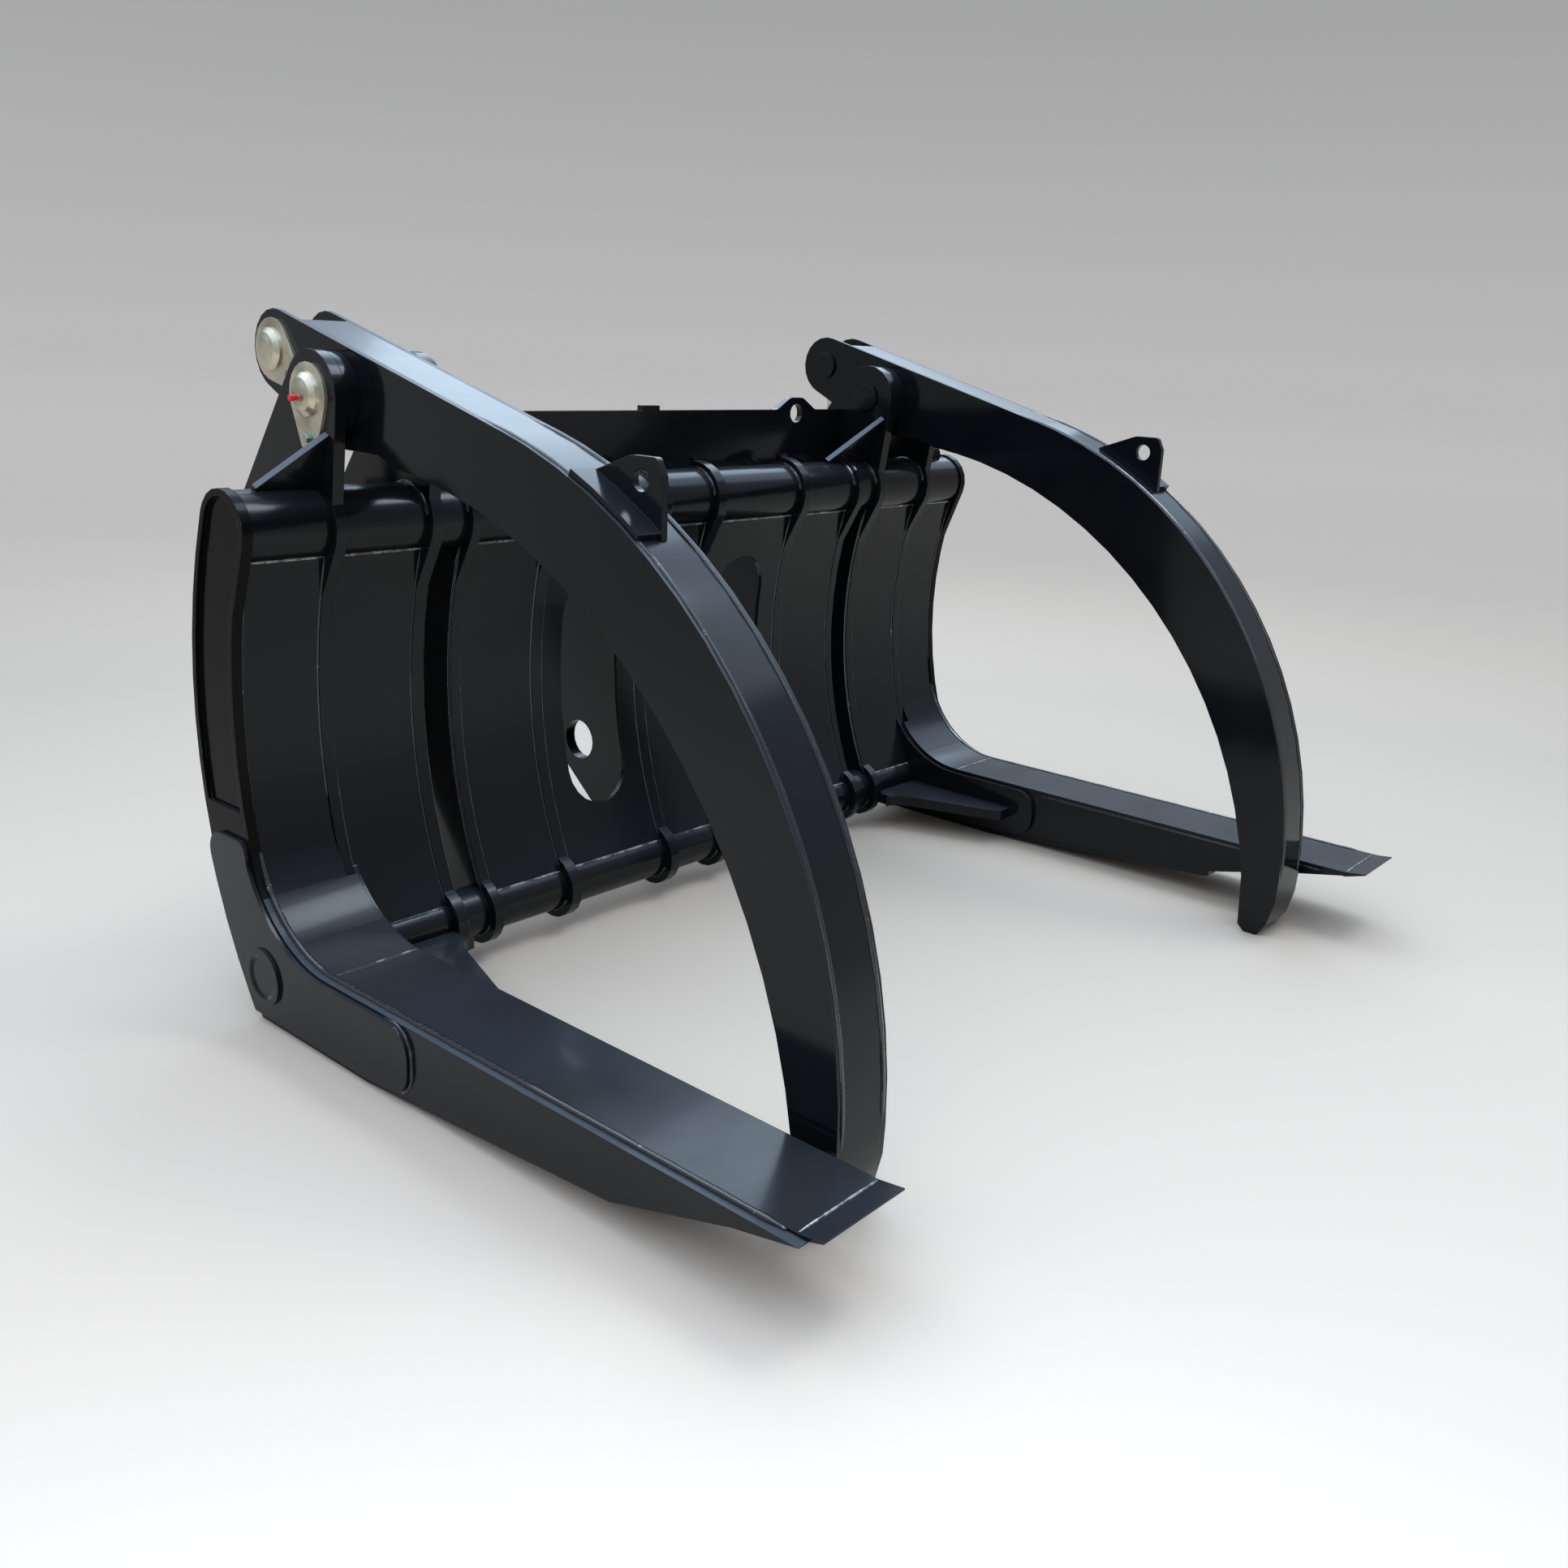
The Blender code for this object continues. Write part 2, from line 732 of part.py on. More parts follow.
def outer_doubler_outline():
    rear = REAR_R - DOUBLER_MARGIN / 5.0
    low_z = FLOOR_Z + DOUBLER_MARGIN / 2.0
    start = on_circle_z(REAR_C, rear, low_z)
    path = arc(REAR_C, rear, start, on_circle_z(REAR_C, rear, DOUBLER_TOP - 0.06), BIG_STEP)
    back = polar(REAR_C, rear, on_circle_z(REAR_C, rear, DOUBLER_TOP))
    front = polar(SKIN_C, SKIN_R, on_circle_z(SKIN_C, SKIN_R, DOUBLER_TOP))
    corners = doubler_front() + [(y, z, 0.0) for y, z in path]
    corners += [(back[0], back[1], 0.045), (front[0], front[1], 0.030)]
    return rounded(corners + doubler_top_edge(DOUBLER_TOP - 0.045))


def inner_doubler_outline():
    skin = within(SKIN_R, BIG_STEP)
    tube = around(BOT_R, TUBE_STEP)
    low = meet(BOT_C, tube, SKIN_C, skin, -1.0)
    radius = ROOT_R + DOUBLER_MARGIN
    top = angle_of(SKIN_C, meet(ROOT_C, radius, SKIN_C, skin, 1.0))
    foot = 360.0 + on_circle_y(BOT_C, tube, FOOT_Y)
    seat = arc(BOT_C, tube, wrap(angle_of(BOT_C, low), 90.0), foot, TUBE_STEP)
    points = seat[::-1] + arc(SKIN_C, skin, angle_of(SKIN_C, low), top, BIG_STEP)[1:]
    turn = angle_of(ROOT_C, points[-1])
    points += arc(ROOT_C, radius, turn, -90.0, ROOT_STEP)[1:]
    corners = [(FOOT_Y, FLOOR_Z + DOUBLER_MARGIN / 2.0, 0.0)]
    corners += [(y, z, 0.0) for y, z in points]
    return rounded(corners + doubler_front())


# Back frame

def build_tubes():
    bm = bmesh.new()
    end = END_IN - GAP
    bore = TOP_R - TOP_WALL
    add_turned(bm, [(-end, TOP_R), (end, TOP_R), (end, bore), (-end, bore)], (0.0, *TOP_C), step=TUBE_STEP)
    combine(new_object("top_tube", bm), ear_gussets(), "UNION")

    bm = bmesh.new()
    end = END_IN + END_T
    bore = BOT_R - BOT_WALL
    add_turned(bm, [(-end, BOT_R), (end, BOT_R), (end, bore), (-end, bore)], (0.0, *BOT_C), step=TUBE_STEP)
    new_object("bottom_tube", bm)


def build_clearances():
    """Tools that leave the fitting gap around both tubes."""
    tools = []
    tubes = (("top_tube_clearance", TOP_C, TOP_R), ("bottom_tube_clearance", BOT_C, BOT_R))
    for name, centre, radius in tubes:
        bm = bmesh.new()
        reach = END_IN + 2.0 * END_T
        clear = radius + GAP
        profile = [(-reach, 0.0), (-reach, clear), (reach, clear), (reach, 0.0)]
        add_turned(bm, profile, (0.0, *centre), step=TUBE_STEP)
        tools.append(as_tool(new_object(name, bm, kind=None)))
    return tools


def skin_outline():
    front = arc(SKIN_C, SKIN_R, TUBE_FRONT, TUBE_FOOT, BIG_STEP)
    return front + arc(SKIN_C, SKIN_R + SKIN_T, TUBE_FOOT, TUBE_FRONT, BIG_STEP)


def build_skins(top_tool, low_tool):
    outline = skin_outline()
    middle = COUPLER_IN_IN - GAP
    skins = [plate("center_skin", outline, -middle, middle)]
    end = WINDOW_HALF * 0.98
    for label, side in SIDES.items():
        reach = span(side, COUPLER_IN_IN + COUPLER_T + GAP, COUPLER_OUT_IN - GAP)
        window = plate(label + "_window_panel", outline, *reach)
        reach = span(side, COUPLER_OUT_IN + COUPLER_T + GAP, SLOT_RIB_IN - GAP)
        flank = plate(label + "_side_skin", outline, *reach)
        reach = span(side, INNER_EAR_IN + INNER_EAR_T + GAP, EAR_IN - GAP)
        mid = plate(label + "_mid_skin", outline, *reach)
        skins += [window, flank, mid]
        bm = bmesh.new()
        a = side * WINDOW_X - WINDOW_HALF
        b = side * WINDOW_X + WINDOW_HALF
        corners = [(a, WINDOW_LOW, end), (b, WINDOW_LOW, end), (b, WINDOW_HIGH, end), (a, WINDOW_HIGH, end)]
        add_prism(bm, rounded(corners), BOT_C[0] - BOT_R, SKIN_C[0] + SKIN_R + SKIN_T * 5.0, axis="Y")
        combine(window, as_tool(new_object(label + "_window_cut", bm, kind=None)))
    for skin in skins:
        combine(skin, top_tool)
        combine(skin, low_tool)


def build_outer_skins(top_tool):
    """Front sheet of the uprights with the root bend; below the ear rib's
    edge it widens over the tine's inner plate."""
    back = around(ROOT_R + SKIN_T, ROOT_STEP)
    widen = angle_of(ROOT_C, meet(ROOT_C, back, SKIN_C, within(RIB_FRONT_R, BIG_STEP), 1.0))
    seam = on_circle_y(ROOT_C, ROOT_R, ROOT_SEAM_TOP_Y)
    path = arc(SKIN_C, SKIN_R, TUBE_FRONT, ROOT_START, BIG_STEP)
    path += arc(ROOT_C, ROOT_R, ROOT_START, widen, ROOT_STEP)[1:]
    wide_from = len(path) - 1
    path += arc(ROOT_C, ROOT_R, widen, seam, ROOT_STEP)[1:]
    for label, side in SIDES.items():
        bm = bmesh.new()
        places = [side * EAR_IN, side * (EAR_IN + EAR_T + GAP), side * (END_IN - GAP)]
        rows = [[bm.verts.new((x, y, z)) for x in places] for y, z in path]
        for i in range(len(rows) - 1):
            for k in range(2):
                if k == 0 and i < wide_from:
                    continue
                bm.faces.new((rows[i][k], rows[i][k + 1], rows[i + 1][k + 1], rows[i + 1][k]))
        for i in range(wide_from):
            bm.verts.remove(rows[i][0])
        bmesh.ops.recalc_face_normals(bm, faces=bm.faces[:])
        bm.faces.ensure_lookup_table()
        if bm.faces[0].normal.y > 0.0:
            bmesh.ops.reverse_faces(bm, faces=bm.faces[:])
        skin = new_object(label + "_outer_skin", bm)
        thick = skin.modifiers.new("thickness", "SOLIDIFY")
        thick.thickness = SKIN_T
        thick.offset = -1.0
        thick.use_even_offset = True
        combine(skin, top_tool)


def build_uprights():
    """End plates with their recessed panel, and the sheet that closes the
    back of the uprights."""
    outer = END_IN + END_T
    outline = upright_outline(0.0, DOUBLER_SEAM + GAP)
    low = on_circle_z(REAR_C, REAR_R, DOUBLER_SEAM + GAP)
    high = on_circle_z(REAR_C, REAR_R, TOP_C[1] - TOP_R / 2.0)
    cover = arc(REAR_C, REAR_R - GAP, low, high, BIG_STEP)
    cover += arc(REAR_C, REAR_R - SKIN_T, high, low, BIG_STEP)
    for label, side in SIDES.items():
        end = plate(label + "_end_plate", outline, *span(side, END_IN, outer))
        bm = bmesh.new()
        reach = span(side, outer - POCKET_DEPTH, outer + POCKET_DEPTH)
        add_prism(bm, upright_outline(RIM_W, POCKET_LOW), *reach)
        combine(end, as_tool(new_object(label + "_end_plate_pocket", bm, kind=None)))
        bm = bmesh.new()
        add_prism(bm, cover, *span(side, EAR_IN + EAR_T + GAP, END_IN + END_T / 3.0))
        combine(end, as_tool(new_object(label + "_upright_back", bm, kind=None)), "UNION")


def build_ribs():
    top_hole = circle(TOP_C, TOP_R + GAP, TUBE_STEP)
    low_hole = circle(BOT_C, BOT_R + GAP, TUBE_STEP)
    pivot_hole = circle(PIVOT, PIN_R + GAP)
    base_hole = circle(BASE_PIN, PIN_R + GAP)
    ear_holes = [top_hole, low_hole, pivot_hole, base_hole]
    coupler_holes = [low_hole, circle(LOCK, LOCK_HOLE_R)]
    inner_holes = coupler_holes + [circle(HOOK, HOOK_PIN_R + GAP)]
    outlines = (
        ("_outer_ear_rib", outer_ear_outline(), EAR_IN, EAR_T, ear_holes),
        ("_inner_ear_rib", inner_ear_outline(), INNER_EAR_IN, INNER_EAR_T, ear_holes),
        ("_slot_rib", slot_rib_outline(), SLOT_RIB_IN, SLOT_RIB_T, [low_hole]),
        ("_outer_coupler_plate", coupler_outline(), COUPLER_OUT_IN, COUPLER_T, coupler_holes),
        ("_inner_coupler_plate", coupler_outline(), COUPLER_IN_IN, COUPLER_T, inner_holes),
    )
    for label, side in SIDES.items():
        for name, outline, near, thick, holes in outlines:
            rib = plate(label + name, outline, *span(side, near, near + thick), holes=holes)
            if near == COUPLER_OUT_IN:
                bm = bmesh.new()
                profile = [(COUPLER_IN_IN - HOOK_PIN_OVER, 0.0), (COUPLER_IN_IN - HOOK_PIN_OVER, HOOK_PIN_R)]
                profile += [(near + thick + HOOK_PIN_OVER, HOOK_PIN_R), (near + thick + HOOK_PIN_OVER, 0.0)]
                add_turned(bm, mirrored(profile, side), (0.0, *HOOK))
                combine(rib, as_tool(new_object(label + "_hook_pin", bm, kind=None)), "UNION")


def build_back_plate():
    half = INNER_EAR_IN - GAP
    low = HUMP_X - HUMP_BASE / 2.0
    high = HUMP_X + HUMP_BASE / 2.0
    crest = HUMP_BASE * 0.16
    right = [(NUB_BASE / 2.0, BACK_TOP + NUB_RISE, 0.0), (NUB_BASE / 2.0, BACK_TOP, 0.0)]
    right += [(low, BACK_TOP, 0.030), (HUMP_X - crest, HUMP_TOP, 0.030)]
    right += [(HUMP_X + crest, HUMP_TOP, 0.030), (high, BACK_TOP, 0.030)]
    right += [(half, BACK_TOP, 0.0), (half, BACK_LOW, 0.0)]
    outline = rounded(right + [(-x, z, r) for x, z, r in right[::-1]])
    near = TOP_C[0] + TOP_R + GAP
    eyes = [circle((s * HUMP_X, EYE_Z), EYE_R) for s in SIDES.values()]
    plate("upper_back_plate", outline, near, near + BACK_T, axis="Y", holes=eyes)


def ear_gussets():
    """Tilted triangular plates from the top tube's crest up to the ears."""
    bm = bmesh.new()
    place = Matrix.Translation((0.0, TOP_C[0] - GUSSET_AHEAD, TOP_C[1] + TOP_R))
    place = place @ Matrix.Rotation(radians(GUSSET_TILT), 4, "X")
    foot = -TOP_WALL * 0.6
    for side in SIDES.values():
        for root, toe, height in (
            (EAR_IN + EAR_T + GAP, GUSSET_OUT_X, GUSSET_OUT_H),
            (INNER_EAR_IN - GAP, GUSSET_IN_X, GUSSET_IN_H),
        ):
            outline = [(side * root, foot), (side * toe, foot)]
            outline += [(side * toe, GUSSET_TOE), (side * root, height)]
            before = set(bm.verts)
            add_prism(bm, outline, -GUSSET_T / 2.0, GUSSET_T / 2.0, axis="Y")
            bmesh.ops.transform(bm, matrix=place, verts=[v for v in bm.verts if v not in before])
    return as_tool(new_object("ear_gussets", bm, kind=None))


# Tines

def build_tines():
    under = TINE_TOP_T
    seam = on_circle_y(ROOT_C, ROOT_R, ROOT_SEAM_TOP_Y) - degrees(GAP / ROOT_R)
    front = LIP_Y + GAP
    top = arc(ROOT_C, ROOT_R, seam, -90.0, ROOT_STEP) + [(front, TINE_TOP), (front, TINE_TOP - under)]
    top += arc(ROOT_C, ROOT_R + under, -90.0, seam, ROOT_STEP)
    share = (BEND_Y - BOTTOM_END_Y) / (BEND_Y - NOSE_LOW_Y)
    end = (BOTTOM_END_Y, BEND_Z + share * (NOSE_LOW_Z - BEND_Z))
    foot = [(HEEL_REAR_Y - GAP, FLOOR_Z)] + tine_foot()[:2] + [end]
    bottom = strip(foot, GAP, GAP + TINE_BOTTOM_T)
    low = TINE_TOP - under
    tip = TINE_TOP + TIP_RISE
    lip = [(LIP_Y, low), (LIP_Y, TINE_TOP), (TIP_Y, tip), (TIP_Y, tip - TIP_T)]
    low_hole = circle(BOT_C, BOT_R + GAP, TUBE_STEP)
    outer = END_IN + END_T
    for label, side in SIDES.items():
        sheet = span(side, EAR_IN, END_IN - GAP)
        plate(label + "_tine_top_plate", top, *sheet)
        plate(label + "_cutting_edge", lip, *sheet)
        reach = span(side, END_IN, outer)
        plate(label + "_tine_outer_plate", tine_outer_outline(), *reach, holes=[low_hole])
        plate(label + "_tine_inner_plate", tine_inner_outline(), *span(side, EAR_IN, EAR_IN + TINE_IN_T))
        plate(label + "_tine_bottom_plate", bottom, *sheet)


def build_heels():
    """Doublers outside and inside the heel; the outer one covers the end of
    the bottom tube with a dished boss, the inner one carries the root
    gusset that runs across to the inner ear rib."""
    start = END_IN + END_T + GAP
    face = start + DOUBLER_T
    inner_face = EAR_IN - GAP
    rear = BOT_C[0] - BOT_R - GAP
    near = INNER_EAR_IN + INNER_EAR_T + GAP
    far = inner_face - DOUBLER_IN_T
    for label, side in SIDES.items():
        doubler = plate(label + "_heel_doubler", outer_doubler_outline(), *span(side, start, face))
        profile = [
            (face - 0.5 * DOUBLER_T, 0.0), (face - 0.5 * DOUBLER_T, BOSS_R), (face + BOSS_H, BOSS_R),
            (face + BOSS_H, BOSS_R - BOSS_RIM), (face + BOSS_H * 0.2, BOSS_R - 1.6 * BOSS_RIM),
            (face + BOSS_H * 0.2, 0.0),
        ]
        bm = bmesh.new()
        add_turned(bm, mirrored(profile, side), (0.0, *BOT_C), step=TUBE_STEP)
        combine(doubler, as_tool(new_object(label + "_heel_boss", bm, kind=None)), "UNION")

        gusset = plate(label + "_root_gusset", inner_doubler_outline(), *span(side, far, inner_face))
        reach = far + DOUBLER_IN_T / 2.0
        corners = [
            (side * near, rear, 0.0), (side * reach, rear, 0.0), (side * reach, SHELF_NOSE_Y, 0.0),
            (side * SHELF_NOSE_X, SHELF_NOSE_Y, 0.020), (side * SHELF_WAIST_X, SHELF_WAIST_Y, 0.060),
            (side * near, SHELF_WAIST_Y, 0.0),
        ]
        bm = bmesh.new()
        add_prism(bm, rounded(corners), SHELF_TOP - SHELF_T, SHELF_TOP, axis="Z")
        combine(gusset, as_tool(new_object(label + "_shelf", bm, kind=None)), "UNION")


# Pins

def keeper_outline(centre, direction):
    """A round keeper plate that narrows to a bolted tab."""
    tab = polar(centre, KEEPER_TAB - KEEPER_TAB_R, direction)
    turn = tangent(centre, KEEPER_R, tab, KEEPER_TAB_R, 1.0)
    other = tangent(centre, KEEPER_R, tab, KEEPER_TAB_R, -1.0)
    points = arc(centre, KEEPER_R, turn, wrap(other, turn))
    return points + arc(tab, KEEPER_TAB_R, other, wrap(turn, other))


def head_profile(face):
    """A domed pin head that starts at a face and ends on the axis."""
    return [
        (face, PIN_HEAD_R), (face + PIN_HEAD_H * 0.35, PIN_HEAD_R * 0.96),
        (face + PIN_HEAD_H * 0.80, PIN_HEAD_R * 0.74),
        (face + PIN_HEAD_H, PIN_HEAD_R * 0.50), (face + PIN_HEAD_H, 0.0),
    ]


def add_keeper(pin, place, direction, side, near, axis=None):
    """Weld the keeper plate to its pin, against the face it bolts to."""
    bm = bmesh.new()
    add_prism(bm, keeper_outline(place, direction), *span(side, near, near + KEEPER_T))
    name = pin.name + "_keeper"
    tool = new_object(name, bm, kind=None) if axis is None else jointed(name, bm, axis, kind=None)
    combine(pin, as_tool(tool), "UNION")


def build_frame_pins():
    ear_face = EAR_IN + EAR_T + GAP
    head = ear_face + KEEPER_T
    tail = INNER_EAR_IN - GAP
    near = INNER_EAR_IN - BASE_PIN_OVER
    far = ear_face + BASE_PIN_OVER
    spacer_in = (INNER_EAR_IN + INNER_EAR_T + GAP, ARM_X - BASE_EYE_W / 2.0 - SIDE_PLAY)
    spacer_out = (ARM_X + BASE_EYE_W / 2.0 + SIDE_PLAY, EAR_IN - GAP)
    for label, side in SIDES.items():
        profile = [(tail - PIN_TAIL_T, 0.0), (tail - PIN_TAIL_T, PIN_TAIL_R)]
        profile += [(tail, PIN_TAIL_R), (tail, PIN_R)]
        profile += [(head, PIN_R)] + head_profile(head)
        bm = bmesh.new()
        add_turned(bm, mirrored(profile, side), (0.0, *PIVOT))
        add_keeper(new_object(label + "_pivot_pin", bm, "zinc"), PIVOT, -90.0, side, ear_face)
        profile = [(near, 0.0), (near, PIN_R), (spacer_in[0], PIN_R), (spacer_in[0], SPACER_R)]
        profile += [(spacer_in[1], SPACER_R), (spacer_in[1], PIN_R)]
        profile += [(spacer_out[0], PIN_R), (spacer_out[0], SPACER_R)]
        profile += [(spacer_out[1], SPACER_R), (spacer_out[1], PIN_R), (far, PIN_R), (far, 0.0)]
        bm = bmesh.new()
        add_turned(bm, mirrored(profile, side), (0.0, *BASE_PIN))
        new_object(label + "_base_pin", bm, "steel")


# Arms

ARM_OUT_C = centre_of(ARM_OUT_REAR, ARM_OUT_FRONT, ARM_OUT_R)
ARM_IN_C = centre_of(ARM_IN_REAR, ARM_IN_FRONT, ARM_IN_R)
ARM_TOP_ANGLE = tangent(ARM_OUT_C, ARM_OUT_R, TAIL_PIN, TAIL_R, 1.0)
ARM_OUT_END = angle_of(ARM_OUT_C, ARM_OUT_FRONT) % 360.0
ARM_IN_START = angle_of(ARM_IN_C, ARM_IN_REAR)
ARM_IN_END = angle_of(ARM_IN_C, ARM_IN_FRONT) % 360.0
LUG_SEAT_Z = ARM_OUT_C[1] + (ARM_OUT_R ** 2 - (LUG_HOLE_Y - ARM_OUT_C[0]) ** 2) ** 0.5
LUG_HOLE = (LUG_HOLE_Y, LUG_SEAT_Z + LUG_HOLE_RISE)
LUG_TOP_Z = LUG_SEAT_Z + LUG_RISE


def arm_outline():
    tail = touch(TAIL_UNDER, TAIL_PIN, TAIL_R, 1.0)
    points = arc(TAIL_PIN, TAIL_R, tail, ARM_TOP_ANGLE)
    points += arc(ARM_OUT_C, ARM_OUT_R, ARM_TOP_ANGLE, ARM_OUT_END, BIG_STEP)
    points += [TOE_HEEL, TOE_FRONT, TOE_REAR, TOE_BACK]
    points += arc(ARM_IN_C, ARM_IN_R, ARM_IN_END, ARM_IN_START, BIG_STEP)
    return points + [UNDER_HUB_FRONT, UNDER_HUB_REAR, TAIL_UNDER]


def between(a, b, y):
    """Point on the line from a to b at place y."""
    share = (y - a[0]) / (b[0] - a[0])
    return (y, a[1] + share * (b[1] - a[1]))


def arm_top_outline():
    bend = polar(ARM_OUT_C, ARM_OUT_R, ARM_TOP_ANGLE)
    start = between(bend, polar(TAIL_PIN, TAIL_R, ARM_TOP_ANGLE), TOP_STRIP_END_Y)
    path = [start] + arc(ARM_OUT_C, ARM_OUT_R, ARM_TOP_ANGLE, ARM_OUT_END, BIG_STEP)
    return strip(path + [TOE_HEEL, TOE_FRONT, TOE_REAR], 0.0, ARM_STRIP_T)


def arm_low_outline():
    above = between(TOE_BACK, polar(ARM_IN_C, ARM_IN_R, ARM_IN_END), TOE_BACK[0] + 0.001)
    path = [above] + arc(ARM_IN_C, ARM_IN_R, ARM_IN_END, ARM_IN_START, BIG_STEP)
    path += [UNDER_HUB_FRONT, UNDER_HUB_REAR, between(UNDER_HUB_REAR, TAIL_UNDER, LOW_STRIP_END_Y)]
    return strip(path, 0.0, ARM_STRIP_T)


def lug_outline():
    """Vertical plate of the lug on the arm's outer edge."""
    seat = ARM_OUT_R + GAP
    rear = 180.0 - degrees(acos((ARM_OUT_C[0] - LUG_REAR_Y) / seat))
    front = 180.0 - degrees(acos((ARM_OUT_C[0] - LUG_FRONT_Y) / seat))
    foot = arc(ARM_OUT_C, seat, rear, front, BIG_STEP)
    crest = LUG_TOP_Z - 0.030
    corners = [(y, z, 0.0) for y, z in foot]
    corners += [(LUG_FRONT_Y, crest, 0.0), (LUG_CREST_FRONT, LUG_TOP_Z, 0.010)]
    corners += [(LUG_CREST_REAR, LUG_TOP_Z, 0.030)]
    return rounded(corners)


def lug_base_outline():
    seat = ARM_OUT_R + GAP
    margin = 0.006
    rear = 180.0 - degrees(acos((ARM_OUT_C[0] - LUG_REAR_Y + margin) / seat))
    front = 180.0 - degrees(acos((ARM_OUT_C[0] - LUG_FRONT_Y - margin) / seat))
    outer = seat + LUG_BASE_T
    return arc(ARM_OUT_C, seat, rear, front, BIG_STEP) + arc(ARM_OUT_C, outer, front, rear, BIG_STEP)


def jointed(name, bm, axis, kind="black_paint"):
    """An object whose mesh is set around its joint's axis."""
    bmesh.ops.translate(bm, verts=bm.verts, vec=-axis.location)
    return new_object(name, bm, kind, parent=axis)


def build_arm(label, side):
    axis = new_axis(label + "_arm_axis", (side * ARM_X, *PIVOT))
    half = ARM_W / 2.0
    holes = [circle(PIVOT, HUB_NECK_R + GAP), circle(TAIL_PIN, PIN_R + GAP)]
    for name, near in (("_arm_inner_plate", ARM_X - half), ("_arm_outer_plate", ARM_X + half - ARM_SIDE_T)):
        bm = bmesh.new()
        add_prism(bm, arm_outline(), *span(side, near, near + ARM_SIDE_T), holes=holes)
        jointed(label + name, bm, axis)
    inside = half - ARM_SIDE_T - GAP
    for name, outline in (("_arm_top_plate", arm_top_outline()), ("_arm_bottom_plate", arm_low_outline())):
        bm = bmesh.new()
        add_prism(bm, outline, *span(side, ARM_X - inside, ARM_X + inside))
        jointed(label + name, bm, axis)

    bore = PIN_R + PIN_PLAY
    low = INNER_EAR_IN + INNER_EAR_T + SIDE_PLAY
    high = EAR_IN - SIDE_PLAY
    profile = [(low, bore), (low, HUB_R), (ARM_X - half - GAP, HUB_R), (ARM_X - half - GAP, HUB_NECK_R)]
    profile += [(ARM_X + half + GAP, HUB_NECK_R), (ARM_X + half + GAP, HUB_R), (high, HUB_R), (high, bore)]
    bm = bmesh.new()
    add_turned(bm, mirrored(profile, side), (0.0, *PIVOT))
    jointed(label + "_arm_hub", bm, axis)

    bm = bmesh.new()
    reach = span(side, ARM_X - LUG_T / 2.0, ARM_X + LUG_T / 2.0)
    add_prism(bm, lug_outline(), *reach, holes=[circle(LUG_HOLE, LUG_HOLE_R)])
    lug = jointed(label + "_arm_lug", bm, axis)
    bm = bmesh.new()
    add_prism(bm, lug_base_outline(), *span(side, ARM_X, ARM_X + half - LUG_BASE_T / 2.0))
    combine(lug, as_tool(jointed(label + "_lug_base", bm, axis, kind=None)), "UNION")

    low = ARM_X - half
    face = ARM_X + half + GAP
    head = face + KEEPER_T
    profile = [(low - PIN_TAIL_T, 0.0), (low - PIN_TAIL_T, PIN_TAIL_R)]
    profile += [(low - GAP, PIN_TAIL_R), (low - GAP, PIN_R)]
    bm = bmesh.new()
    add_turned(bm, mirrored(profile + [(head, PIN_R)] + head_profile(head), side), (0.0, *TAIL_PIN))
    pin = jointed(label + "_tail_pin", bm, axis, "zinc")
    add_keeper(pin, TAIL_PIN, TAIL_KEEPER_ANGLE, side, face, axis)


# Cylinders

def rod_eye_place():
    """Rod eye centre at rest: shares the play around the tail pin between
    the ends and the middle of the stroke."""
    lever = hypot(TAIL_PIN[0] - PIVOT[0], TAIL_PIN[1] - PIVOT[1])
    half = CYL_RANGE / 2.0
    share = lever * (1.0 - cos(radians(half))) / 2.0
    return polar(TAIL_PIN, share, angle_of(PIVOT, TAIL_PIN) - half)


